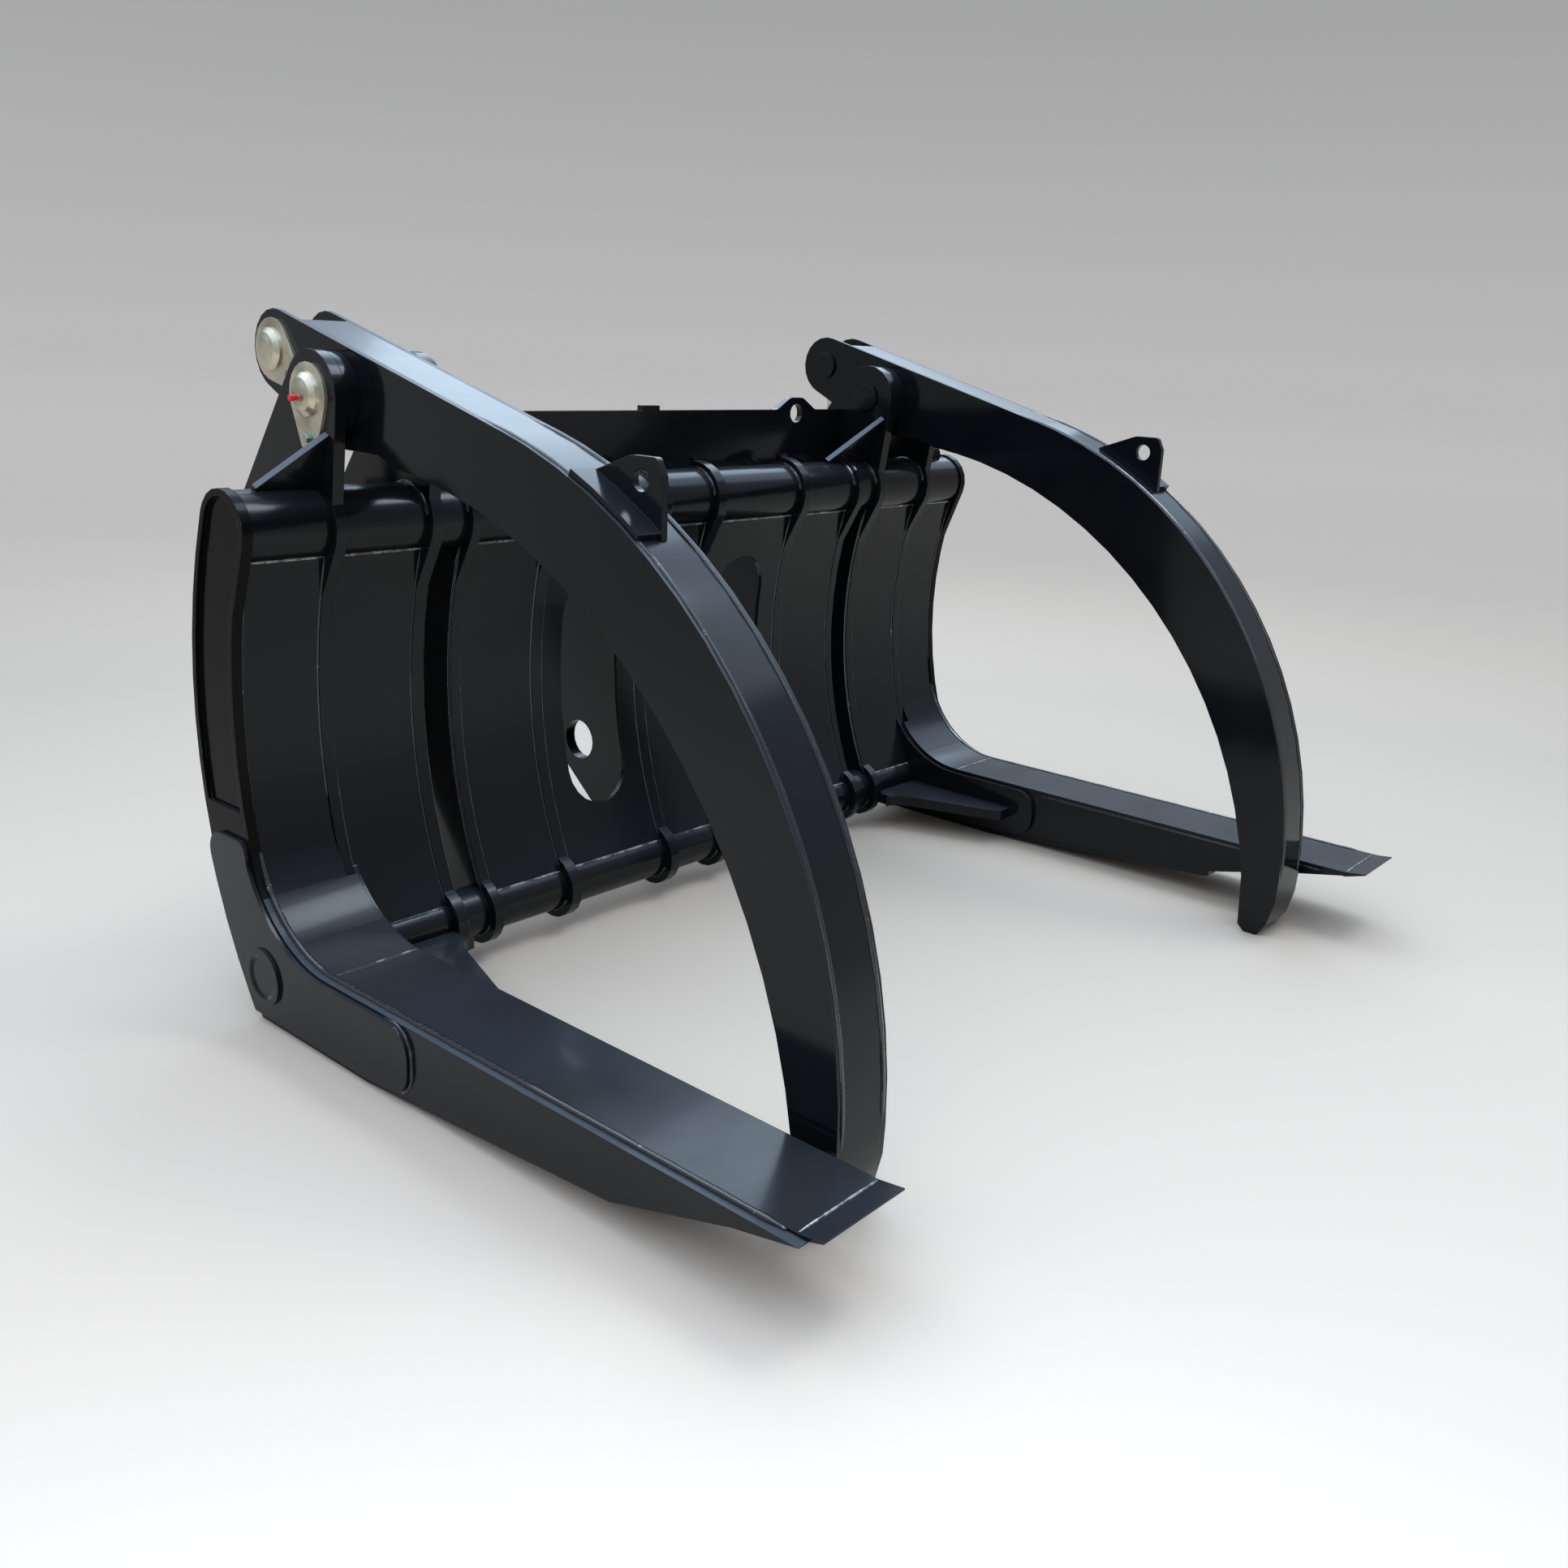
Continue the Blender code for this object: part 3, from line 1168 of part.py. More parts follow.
def build_cylinder(label, side):
    eye = rod_eye_place()
    length = hypot(eye[0] - BASE_PIN[0], eye[1] - BASE_PIN[1])
    lean = radians(angle_of(BASE_PIN, eye) - 90.0)
    axis = new_axis(label + "_cylinder_axis", (side * ARM_X, *BASE_PIN), lean)
    bore = BARREL_R - BARREL_WALL
    passage = ROD_R + GAP

    bm = bmesh.new()
    profile = [
        (BARREL_LOW, 0.0), (BARREL_LOW, BARREL_R), (GLAND_LOW, BARREL_R), (GLAND_LOW, GLAND_R),
        (GLAND_TOP, GLAND_R), (GLAND_TOP, passage), (GLAND_LOW, passage), (GLAND_LOW, bore),
        (BARREL_FLOOR, bore), (BARREL_FLOOR, 0.0),
    ]
    add_turned(bm, profile, (0.0, 0.0, 0.0), axis="Z")
    barrel = new_object(label + "_cylinder_barrel", bm, parent=axis)
    bm = bmesh.new()
    half = BASE_EYE_W / 2.0
    hole = PIN_R + PIN_PLAY
    add_turned(bm, [(-half, hole), (-half, BASE_EYE_R), (half, BASE_EYE_R), (half, hole)], (0.0, 0.0, 0.0))
    combine(barrel, as_tool(new_object(label + "_base_eye", bm, kind=None, parent=axis)), "UNION")
    bm = bmesh.new()
    for height in (PORT_LOW_Z, PORT_HIGH_Z):
        inner = BARREL_R - BARREL_WALL / 2.0
        add_prism(bm, circle((0.0, height), PORT_R, 30.0), inner, BARREL_R + PORT_H, axis="Y")
    combine(barrel, as_tool(new_object(label + "_ports", bm, kind=None, parent=axis)), "UNION")

    bm = bmesh.new()
    low = PISTON_LOW
    high = low + PISTON_T
    piston = bore - GAP
    top = length - (ROD_EYE_BORE + ROD_EYE_R) / 2.0
    profile = [(low, 0.0), (low, piston), (high, piston), (high, ROD_R), (top, ROD_R), (top, 0.0)]
    add_turned(bm, profile, (0.0, 0.0, 0.0), axis="Z")
    rod = new_object(label + "_cylinder_rod", bm, "chrome", parent=axis)
    bm = bmesh.new()
    half = ROD_EYE_W / 2.0
    ring_profile = [(-half, ROD_EYE_BORE), (-half, ROD_EYE_R), (half, ROD_EYE_R), (half, ROD_EYE_BORE)]
    add_turned(bm, ring_profile, (0.0, 0.0, length))
    combine(rod, as_tool(new_object(label + "_rod_eye", bm, kind=None, parent=axis)), "UNION")


def main():
    for obj in list(bpy.data.objects):
        bpy.data.objects.remove(obj, do_unlink=True)
    build_tubes()
    top_tool, low_tool = build_clearances()
    build_skins(top_tool, low_tool)
    build_outer_skins(top_tool)
    build_uprights()
    build_ribs()
    build_back_plate()
    build_tines()
    build_heels()
    build_frame_pins()
    for label, side in SIDES.items():
        build_arm(label, side)
        build_cylinder(label, side)


main()
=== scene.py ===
"""Looks of the log grapple: paint, plating, weld seams, caps, bolts, light
and camera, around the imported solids."""
import json
from math import atan2, cos, degrees, pi, radians, sin

import bmesh
import bpy
from mathutils import Matrix, Vector


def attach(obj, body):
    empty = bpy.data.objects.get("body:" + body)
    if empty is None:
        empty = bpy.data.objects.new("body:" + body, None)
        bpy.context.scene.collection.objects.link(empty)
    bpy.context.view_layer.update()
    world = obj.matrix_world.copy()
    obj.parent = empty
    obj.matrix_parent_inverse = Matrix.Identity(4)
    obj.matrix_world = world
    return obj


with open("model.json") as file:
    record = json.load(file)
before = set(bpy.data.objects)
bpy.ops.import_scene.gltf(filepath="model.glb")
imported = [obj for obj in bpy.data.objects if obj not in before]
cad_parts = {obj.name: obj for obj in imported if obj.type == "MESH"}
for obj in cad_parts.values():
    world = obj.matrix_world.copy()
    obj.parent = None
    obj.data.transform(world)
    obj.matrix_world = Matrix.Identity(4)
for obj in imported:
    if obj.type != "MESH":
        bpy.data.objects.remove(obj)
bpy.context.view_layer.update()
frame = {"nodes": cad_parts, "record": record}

SIDES = {"left": -1.0, "right": 1.0}

# Places of the solids that the dressing follows: (y, z) pairs and distances
# along x, in metres
TOP_C = (0.620, 1.029)
TOP_R = 0.076
BOT_C = (0.554, 0.110)
BOT_R = 0.060
SKIN_C = (-0.453, 0.632)
SKIN_R = 1.081
ROOT_C = (0.336, 0.445)
ROOT_R = 0.270
PIVOT = (0.598, 1.285)
TAIL_PIN = (0.815, 1.365)
ARM_X = 0.9015
ARM_HALF = 0.0665
ARM_SIDE_T = 0.012
ARM_OUT_C = (0.356, 0.158)
ARM_OUT_R = 1.129
ARM_IN_C = (0.527, -0.053)
ARM_IN_R = 1.217
EAR_FACE = 1.0243
END_IN = 1.197
EAR_IN = 0.999
TINE_TOP = 0.175
LIP_Y = -0.883
DOUBLER_TOP_Z = 0.165
DOUBLER_LOW_Z = 0.076
DOUBLER_NOSE_Y = 0.105
DOUBLER_END_R = 0.055
DOUBLER_SEAT = 1.2195
KEEPER_TAB = 0.083
KEEPER_T = 0.008
PIN_HEAD_T = 0.020
BACK_SEAM = (0.6965, 1.0295)
BACK_END = 0.764

# Pins are painted inboard of this distance; the rod's eye is painted as far
# as this radius, a little over its own, from the eye's centre
PAINTED_PIN_END = 0.830
ROD_EYE = (0.8258, 1.3641)
ROD_EYE_R = 0.062

# How far a weld bead's middle line stands off its surface
PROUD = 0.001
RIB_FACES = (
    (0.085, 0.115), (0.425, 0.455), (0.665, 0.690), (0.765, 0.794), (0.999, 1.024),
)
SKIN_SPANS = ((0.115, 0.425), (0.455, 0.665), (0.794, 0.999))
TINE_SPAN = (1.003, 1.193)


# Node helpers

class Nodes:
    """Short calls to build one material's nodes."""

    def __init__(self, name):
        self.material = bpy.data.materials.new(name)
        self.material.use_nodes = True
        self.tree = self.material.node_tree
        self.shader = self.tree.nodes["Principled BSDF"]
        self.place = self.new("ShaderNodeTexCoord").outputs["Object"]

    def new(self, kind, **values):
        node = self.tree.nodes.new(kind)
        for key, value in values.items():
            setattr(node, key, value)
        return node

    def put(self, node, **values):
        """Set sockets by name; a socket given is linked, else it is set."""
        for key, value in values.items():
            socket = node.inputs[key.replace("_", " ")]
            if isinstance(value, bpy.types.NodeSocket):
                self.tree.links.new(value, socket)
            else:
                socket.default_value = value
        return node

    def noise(self, scale, detail=4.0, rough=0.55, stretch=None):
        place = self.place
        if stretch is not None:
            mapping = self.put(self.new("ShaderNodeMapping"), Vector=place, Scale=stretch)
            place = mapping.outputs["Vector"]
        node = self.new("ShaderNodeTexNoise")
        self.put(node, Vector=place, Scale=scale, Detail=detail, Roughness=rough)
        return node.outputs["Fac"]

    def ramp(self, source, low, high, start=0.0, end=1.0):
        node = self.new("ShaderNodeMapRange")
        self.tree.links.new(source, node.inputs["Value"])
        limits = (("From Min", low), ("From Max", high), ("To Min", start), ("To Max", end))
        for key, value in limits:
            node.inputs[key].default_value = value
        return node.outputs["Result"]

    def math(self, kind, a, b):
        node = self.new("ShaderNodeMath", operation=kind)
        for socket, value in zip(node.inputs, (a, b)):
            if isinstance(value, bpy.types.NodeSocket):
                self.tree.links.new(value, socket)
            else:
                socket.default_value = value
        return node.outputs[0]

    def mix(self, factor, a, b):
        node = self.new("ShaderNodeMix", data_type="RGBA")
        self.tree.links.new(factor, node.inputs[0])
        for socket, value in ((node.inputs[6], a), (node.inputs[7], b)):
            if isinstance(value, bpy.types.NodeSocket):
                self.tree.links.new(value, socket)
            else:
                socket.default_value = (*value, 1.0)
        return node.outputs[2]

    def edge(self, radius):
        """1 on outer edges and 0 on flats, from the rounded normal."""
        bevel = self.new("ShaderNodeBevel", samples=4)
        bevel.inputs["Radius"].default_value = radius
        normal = self.new("ShaderNodeNewGeometry").outputs["True Normal"]
        dot = self.new("ShaderNodeVectorMath", operation="DOT_PRODUCT")
        self.tree.links.new(bevel.outputs[0], dot.inputs[0])
        self.tree.links.new(normal, dot.inputs[1])
        return bevel.outputs[0], self.ramp(dot.outputs["Value"], 0.985, 0.86)

    def up(self):
        normal = self.new("ShaderNodeNewGeometry").outputs["Normal"]
        split = self.new("ShaderNodeSeparateXYZ")
        self.tree.links.new(normal, split.inputs[0])
        return split.outputs["Z"]

    def bump(self, height, strength, distance, normal=None):
        node = self.put(self.new("ShaderNodeBump"), Strength=strength, Distance=distance)
        self.tree.links.new(height, node.inputs["Height"])
        if normal is not None:
            self.tree.links.new(normal, node.inputs["Normal"])
        return node.outputs["Normal"]


def paint(name, base, dust_and_sky_tone, smooth=(0.13, 0.19), film_share=0.30, glint_and_wear=0.6, index=1.29):
    """Glossy enamel over plate: slight waviness; a lighter bluish haze on what faces up, which is
    dust together with painted sky light; and light flecks along the edges, which are painted
    glints together with worn paint."""
    n = Nodes(name)
    rounded, edge = n.edge(0.0025)
    broad = n.noise(1.7, 3.0)
    fine = n.noise(9.0, 3.0, 0.5)
    peel = n.noise(420.0, 2.0)
    cloud = n.ramp(n.noise(2.2, 2.0, 0.5), 0.30, 0.70, 0.70, 1.0)
    # Lighter bluish haze on what faces up: dust, and painted sky light on the tops
    film = n.math("MULTIPLY", n.ramp(n.up(), 0.25, 0.95), cloud)
    colour = n.mix(n.ramp(broad, 0.3, 0.7), base, tuple(v * 1.4 for v in base))
    colour = n.mix(n.math("MULTIPLY", film, film_share), colour, dust_and_sky_tone)
    # Light flecks along the edges: painted glints, also standing for paint worn to bare metal
    glint = n.math("MULTIPLY", edge, n.ramp(n.noise(7.0, 6.0, 0.7), 0.60, 0.68))
    colour = n.mix(n.math("MULTIPLY", glint, glint_and_wear), colour, (0.20, 0.23, 0.27))
    rough = n.ramp(fine, 0.3, 0.7, *smooth)
    rough = n.math("ADD", rough, n.math("MULTIPLY", film, 0.08))
    wavy = n.bump(broad, 0.08, 0.010, rounded)
    normal = n.bump(peel, 0.006, 0.0003, wavy)
    n.put(n.shader, Base_Color=colour, Roughness=rough, Normal=normal, IOR=index)
    n.put(n.shader, Coat_Weight=0.06, Coat_Roughness=0.05)
    n.material.diffuse_color = (*base, 1.0)
    return n.material


def weld(name, base, first=0.57):
    """Painted weld metal: rippled, glossy, with small light flecks that are painted glints, also
    standing for bare metal.
    """
    n = Nodes(name)
    ripples = n.noise(150.0, 3.0, 0.6)
    # Light flecks on the bead: painted glints, partly bare metal
    spots = n.ramp(n.noise(26.0, 6.0, 0.75), first, first + 0.09)
    colour = n.mix(n.math("MULTIPLY", spots, 0.8), base, (0.34, 0.33, 0.31))
    n.put(
        n.shader, Base_Color=colour, Roughness=n.ramp(ripples, 0.3, 0.7, 0.14, 0.36),
        Normal=n.bump(ripples, 0.5, 0.0012), IOR=1.55,
    )
    n.put(n.shader, Coat_Weight=0.5, Coat_Roughness=0.05)
    return n.material


def plated(name, base, shade, rough=(0.30, 0.48)):
    """Passivated zinc: mottled, with darker smudges."""
    n = Nodes(name)
    rounded = n.edge(0.0015)[0]
    cloud = n.noise(9.0, 3.0, 0.5)
    smudge = n.ramp(n.noise(11.0, 3.0, 0.5), 0.50, 0.68)
    colour = n.mix(n.ramp(cloud, 0.35, 0.65), base, tuple(v * 0.82 for v in base))
    colour = n.mix(n.math("MULTIPLY", smudge, 0.7), colour, shade)
    normal = n.bump(n.noise(160.0, 3.0), 0.03, 0.0004, rounded)
    n.put(n.shader, Base_Color=colour, Metallic=0.85, Normal=normal)
    n.put(n.shader, Roughness=n.ramp(n.noise(18.0, 3.0), 0.3, 0.7, *rough))
    return n.material


def polished(name, base):
    """Ground chrome with fine turning marks."""
    n = Nodes(name)
    lines = n.noise(30.0, 3.0, 0.6, stretch=(1.0, 12.0, 12.0))
    n.put(
        n.shader, Base_Color=(*base, 1.0), Metallic=1.0,
        Roughness=n.ramp(lines, 0.3, 0.7, 0.06, 0.16),
    )
    n.put(n.shader, Normal=n.bump(n.noise(300.0, 2.0), 0.03, 0.0003))
    return n.material


def plastic(name, base):
    """Soft moulded cap."""
    n = Nodes(name)
    colour = n.mix(n.noise(30.0), base, tuple(v * 0.8 for v in base))
    n.put(n.shader, Base_Color=colour, Roughness=n.ramp(n.noise(80.0), 0.3, 0.7, 0.30, 0.42))
    n.put(n.shader, Normal=n.bump(n.noise(200.0), 0.05, 0.0003))
    return n.material


# Haze colour for what faces up: dust, tinted and lightened as painted sky light
DUST_AND_SKYLIGHT = (0.050, 0.057, 0.068)
# Lighter bluish tone for the plates' upward edge strips: dust, and painted sky light
EDGE_DUST_AND_SKYLIGHT = (0.085, 0.103, 0.125)
LOOKS = {
    "frame_paint": paint("frame_paint", (0.0030, 0.0036, 0.0044), DUST_AND_SKYLIGHT),
    "tine_paint": paint("tine_paint", (0.0040, 0.0046, 0.0056), DUST_AND_SKYLIGHT, (0.11, 0.18), 0.42, 0.7),
    "arm_paint": paint("arm_paint", (0.0030, 0.0038, 0.0048), DUST_AND_SKYLIGHT, (0.09, 0.14), 0.26),
    "cylinder_paint": paint("cylinder_paint", (0.0056, 0.0060, 0.0068), DUST_AND_SKYLIGHT),
    "zinc_pin": plated("zinc_pin", (0.62, 0.58, 0.45), (0.12, 0.11, 0.08), (0.24, 0.40)),
    "chrome_rod": polished("chrome_rod", (0.62, 0.63, 0.64)),
}
# A shaded copy of the frame paint for the end plates: it reflects less so they read darker, which
# is painted shade; its tone is a little browner
UPRIGHT_SHADED = paint("upright_shaded_paint", (0.0034, 0.0031, 0.0031), DUST_AND_SKYLIGHT, index=1.13)
EDGE = paint("edge_paint", (0.0090, 0.0105, 0.0125), EDGE_DUST_AND_SKYLIGHT, (0.30, 0.42), 0.60, 0.9)
# Pale blue-grey paint for the gusset edges: a painted highlight
GUSSET_HIGHLIGHT = paint("gusset_highlight_paint", (0.085, 0.103, 0.125), EDGE_DUST_AND_SKYLIGHT, (0.22, 0.34), 0.30, 0.9)
WELD = weld("weld_paint", (0.006, 0.008, 0.010), 0.62)
# Lighter weld paint with more light flecks for the tube and tine seams: a painted highlight along
# them
SEAM_HIGHLIGHT = weld("seam_highlight_paint", (0.030, 0.036, 0.044), 0.47)
CAP_RED = plastic("cap_red", (0.75, 0.012, 0.008))
BOLT_ZINC = plated("bolt_zinc", (0.42, 0.52, 0.46), (0.14, 0.17, 0.15), (0.22, 0.38))


def soften(mesh, limit=0.94):
    """Smooth shading across shallow bends: at a place that several faces
    share, a face takes the mean of the directions close to its own."""
    spots = {}
    keys = [None] * len(mesh.loops)
    for face in mesh.polygons:
        facing = tuple(round(v, 4) for v in face.normal)
        for corner in face.loop_indices:
            place = mesh.vertices[mesh.loops[corner].vertex_index].co
            keys[corner] = tuple(round(v, 5) for v in place)
            spots.setdefault(keys[corner], set()).add(facing)
    normals = [None] * len(mesh.loops)
    for face in mesh.polygons:
        for corner in face.loop_indices:
            near = [Vector(v) for v in spots[keys[corner]] if face.normal.dot(Vector(v)) > limit]
            normals[corner] = sum(near, Vector((0.0, 0.0, 0.0))).normalized()
    mesh.polygons.foreach_set("use_smooth", [True] * len(mesh.polygons))
    mesh.normals_split_custom_set(normals)


for entry in frame["record"]["subparts"]:
    data = frame["nodes"][entry["node"]].data
    soften(data)
    data.materials.clear()
    data.materials.append(LOOKS[entry["material_slot"]])
    turn = frame["nodes"][entry["node"]].matrix_world
    if entry["node"].endswith(("pivot_pin", "tail_pin")):
        data.materials.append(LOOKS["frame_paint"])
        for face in data.polygons:
            near = min(abs((turn @ data.vertices[i].co).x) for i in face.vertices)
            face.material_index = int(near < PAINTED_PIN_END)
    if entry["node"].endswith("_cylinder_rod"):
        data.materials.append(LOOKS["cylinder_paint"])
        for face in data.polygons:
            corners = [turn @ data.vertices[i].co for i in face.vertices]
            far = max(Vector((p.y - ROD_EYE[0], p.z - ROD_EYE[1])).length for p in corners)
            face.material_index = int(far < ROD_EYE_R)
    if entry["node"].endswith("_end_plate"):
        data.materials[0] = UPRIGHT_SHADED
    # The plates' upward edge strips take a rougher paint, lighter and bluer: worn paint, and
    # painted sky light
    if entry["node"].endswith(("arm_outer_plate", "arm_inner_plate", "tine_outer_plate")):
        data.materials.append(EDGE)
        for face in data.polygons:
            face.material_index = int(abs(face.normal.x) < 0.5 and face.normal.z > 0.1)
    # The top tube's sideways faces above the tube, its gussets, take the pale paint: a painted
    # highlight
    if entry["node"] == "top_tube":
        data.materials.append(GUSSET_HIGHLIGHT)
        for face in data.polygons:
            raised = face.center.z > TOP_C[1] + TOP_R + 0.008
            face.material_index = int(raised and abs(face.normal.x) > 0.3)


# Shapes

def polar(centre, radius, angle):
    return (centre[0] + radius * cos(radians(angle)), centre[1] + radius * sin(radians(angle)))


def angle_of(centre, point):
    return degrees(atan2(point[1] - centre[1], point[0] - centre[0]))


def arc(centre, radius, start, end, step=2.0):
    count = max(2, int(abs(end - start) / step) + 1)
    return [polar(centre, radius, start + (end - start) * i / count) for i in range(count + 1)]


def finish(name, bm, look, body, smooth=True):
    mesh = bpy.data.meshes.new(name)
    bmesh.ops.recalc_face_normals(bm, faces=bm.faces[:])
    bm.to_mesh(mesh)
    bm.free()
    mesh.polygons.foreach_set("use_smooth", [smooth] * len(mesh.polygons))
    if smooth:
        mesh.set_sharp_from_angle(angle=radians(40.0))
    obj = bpy.data.objects.new(name, mesh)
    bpy.context.scene.collection.objects.link(obj)
    mesh.materials.append(look)
    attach(obj, body)
    return obj


def add_bead(bm, points, radius, sides=8, closed=False):
    """A round bead along a line of points, pointed at both ends."""
    points = [Vector(p) for p in points]
    count = len(points)
    rings = []
    for i, here in enumerate(points):
        before = points[i - 1] if i or closed else here
        after = points[(i + 1) % count] if i < count - 1 or closed else here
        along = (after - before).normalized()
        side = along.cross(Vector((1.0, 0.0, 0.0)))
        if side.length < 0.1:
            side = along.cross(Vector((0.0, 0.0, 1.0)))
        side.normalize()
        rise = side.cross(along)
        size = radius * (1.0 + 0.08 * sin(i * 2.3))
        if not closed and i in (0, count - 1):
            size *= 0.3
        turns = [2.0 * pi * k / sides for k in range(sides)]
        rings.append([bm.verts.new(here + size * (cos(t) * side + sin(t) * rise)) for t in turns])
    last = count if closed else count - 1
    for i in range(last):
        a, b = rings[i], rings[(i + 1) % count]
        for k in range(sides):
            bm.faces.new((a[k], a[(k + 1) % sides], b[(k + 1) % sides], b[k]))
    if not closed:
        bm.faces.new(rings[0])
        bm.faces.new(rings[-1][::-1])


def at_x(x, path):
    return [(x, y, z) for y, z in path]


def along_x(low, high, y, z, step=0.02):
    count = max(2, int(abs(high - low) / step))
    return [(low + (high - low) * i / count, y, z) for i in range(count + 1)]


def meet(c1, r1, c2, r2, side):
    """Where two circles cross, left (1) or right (-1) of the way c1 to c2."""
    a = Vector(c1)
    b = Vector(c2)
    gap = b - a
    far = gap.length
    along = (r1 * r1 - r2 * r2 + far * far) / (2.0 * far)
    off = (r1 * r1 - along * along) ** 0.5
    unit = gap / far
    turn = Vector((-unit.y, unit.x))
    return tuple(a + along * unit + side * off * turn)


# Weld seams

def frame_welds():
    bm = bmesh.new()
    skin_top = meet(TOP_C, TOP_R, SKIN_C, SKIN_R, 1.0)
    skin_low = meet(BOT_C, BOT_R, SKIN_C, SKIN_R, -1.0)
    top_angle = angle_of(SKIN_C, skin_top)
    low_angle = angle_of(SKIN_C, skin_low)
    root_start = angle_of(SKIN_C, polar(ROOT_C, ROOT_R, 0.0))
    skin = arc(SKIN_C, SKIN_R + PROUD, top_angle, low_angle)
    outer_skin = arc(SKIN_C, SKIN_R + PROUD, top_angle, root_start)
    ring = arc(TOP_C, TOP_R + PROUD, 170.0, -40.0, 8.0)
    collar = arc(BOT_C, BOT_R + PROUD, 200.0, 340.0, 8.0)
    for side in SIDES.values():
        for near, far in RIB_FACES:
            for x in (near - PROUD, far + PROUD):
                if x > EAR_IN + 0.02:
                    continue
                add_bead(bm, at_x(side * x, skin), 0.0035)
                add_bead(bm, at_x(side * x, ring), 0.0045)
                add_bead(bm, at_x(side * x, collar), 0.004)
        add_bead(bm, at_x(side * (EAR_FACE + PROUD), outer_skin), 0.0035)
        add_bead(bm, at_x(side * (END_IN - PROUD), outer_skin), 0.0035)
    finish("frame_welds", bm, WELD, "frame")
    bm = bmesh.new()
    spans = [(-0.085, 0.085)]
    for side in SIDES.values():
        spans += [(side * (EAR_FACE + 0.002), side * (END_IN - 0.002))]
        for low, high in SKIN_SPANS:
            spans += [(side * low, side * high)]
    for low, high in spans:
        add_bead(bm, along_x(low, high, skin_top[0] - PROUD, skin_top[1] + PROUD), 0.0034)
        if max(abs(low), abs(high)) < EAR_FACE:
            add_bead(bm, along_x(low, high, skin_low[0] - PROUD, skin_low[1] - PROUD), 0.0034)
    add_bead(bm, along_x(-BACK_END, BACK_END, *BACK_SEAM), 0.004)
    finish("tube_seams", bm, SEAM_HIGHLIGHT, "frame")


def tine_welds():
    bm = bmesh.new()
    for side in SIDES.values():
        path = arc(ROOT_C, ROOT_R, -14.0, -90.0, 3.0)
        path += [(ROOT_C[0] - 0.04 * i, TINE_TOP) for i in range(1, 31)]
        add_bead(bm, at_x(side * (END_IN + 0.002), [(y, z - 0.002) for y, z in path]), 0.0055)
        inner = [(0.05 - 0.03 * i, TINE_TOP - 0.0125) for i in range(30)]
        add_bead(bm, at_x(side * (EAR_IN - PROUD), inner), 0.0035)
        centre = (DOUBLER_NOSE_Y, DOUBLER_TOP_Z - DOUBLER_END_R)
        end = [(DOUBLER_NOSE_Y + 0.025, DOUBLER_TOP_Z + PROUD)]
        end += arc(centre, DOUBLER_END_R + PROUD, 90.0, 180.0, 8.0)
        end += arc((DOUBLER_NOSE_Y, DOUBLER_LOW_Z), DOUBLER_END_R + PROUD, 180.0, 250.0, 8.0)
        add_bead(bm, at_x(side * DOUBLER_SEAT, end), 0.0034)
    finish("tine_welds", bm, WELD, "frame")
    bm = bmesh.new()
    for side in SIDES.values():
        low, high = (side * x for x in TINE_SPAN)
        add_bead(bm, along_x(low, high, LIP_Y, TINE_TOP), 0.0028)
        add_bead(bm, along_x(low, high, ROOT_C[0], TINE_TOP), 0.0024)
    finish("tine_seams", bm, SEAM_HIGHLIGHT, "frame")


def arm_welds(label, side):
    bm = bmesh.new()
    seam_in = ARM_X - ARM_HALF + ARM_SIDE_T
    seam_out = ARM_X + ARM_HALF - ARM_SIDE_T
    top = arc(ARM_OUT_C, ARM_OUT_R - PROUD, 72.0, 180.0, 2.0)
    low = arc(ARM_IN_C, ARM_IN_R + PROUD, 96.0, 170.0, 2.0)
    for x in (seam_in, seam_out):
        add_bead(bm, at_x(side * x, top), 0.0045)
        add_bead(bm, at_x(side * x, low), 0.004)
    finish(label + "_arm_welds", bm, WELD, label + "_arm")


# Fasteners

def add_turned(bm, profile, origin, side, turns=24):
    """A turned piece on the X axis through origin (y, z), pointing out."""
    rows = []
    angles = [2.0 * pi * k / turns for k in range(turns)]
    y, z = origin
    for x, r in profile:
        rows.append([bm.verts.new((side * x, y + r * cos(t), z + r * sin(t))) for t in angles])
    for a, b in zip(rows, rows[1:]):
        for k in range(turns):
            bm.faces.new((a[k], a[(k + 1) % turns], b[(k + 1) % turns], b[k]))
    bm.faces.new(rows[0])
    bm.faces.new(rows[-1])


def add_bolt(bm, place, face, side, size=0.0095):
    """A hexagon head with its washer, on a face at distance face."""
    washer = [(face, size * 1.25), (face + 0.002, size * 1.25)]
    add_turned(bm, washer, place, side)
    head = [(face + 0.002, size), (face + 0.008, size), (face + 0.0092, size * 0.86)]
    add_turned(bm, head, place, side, 6)


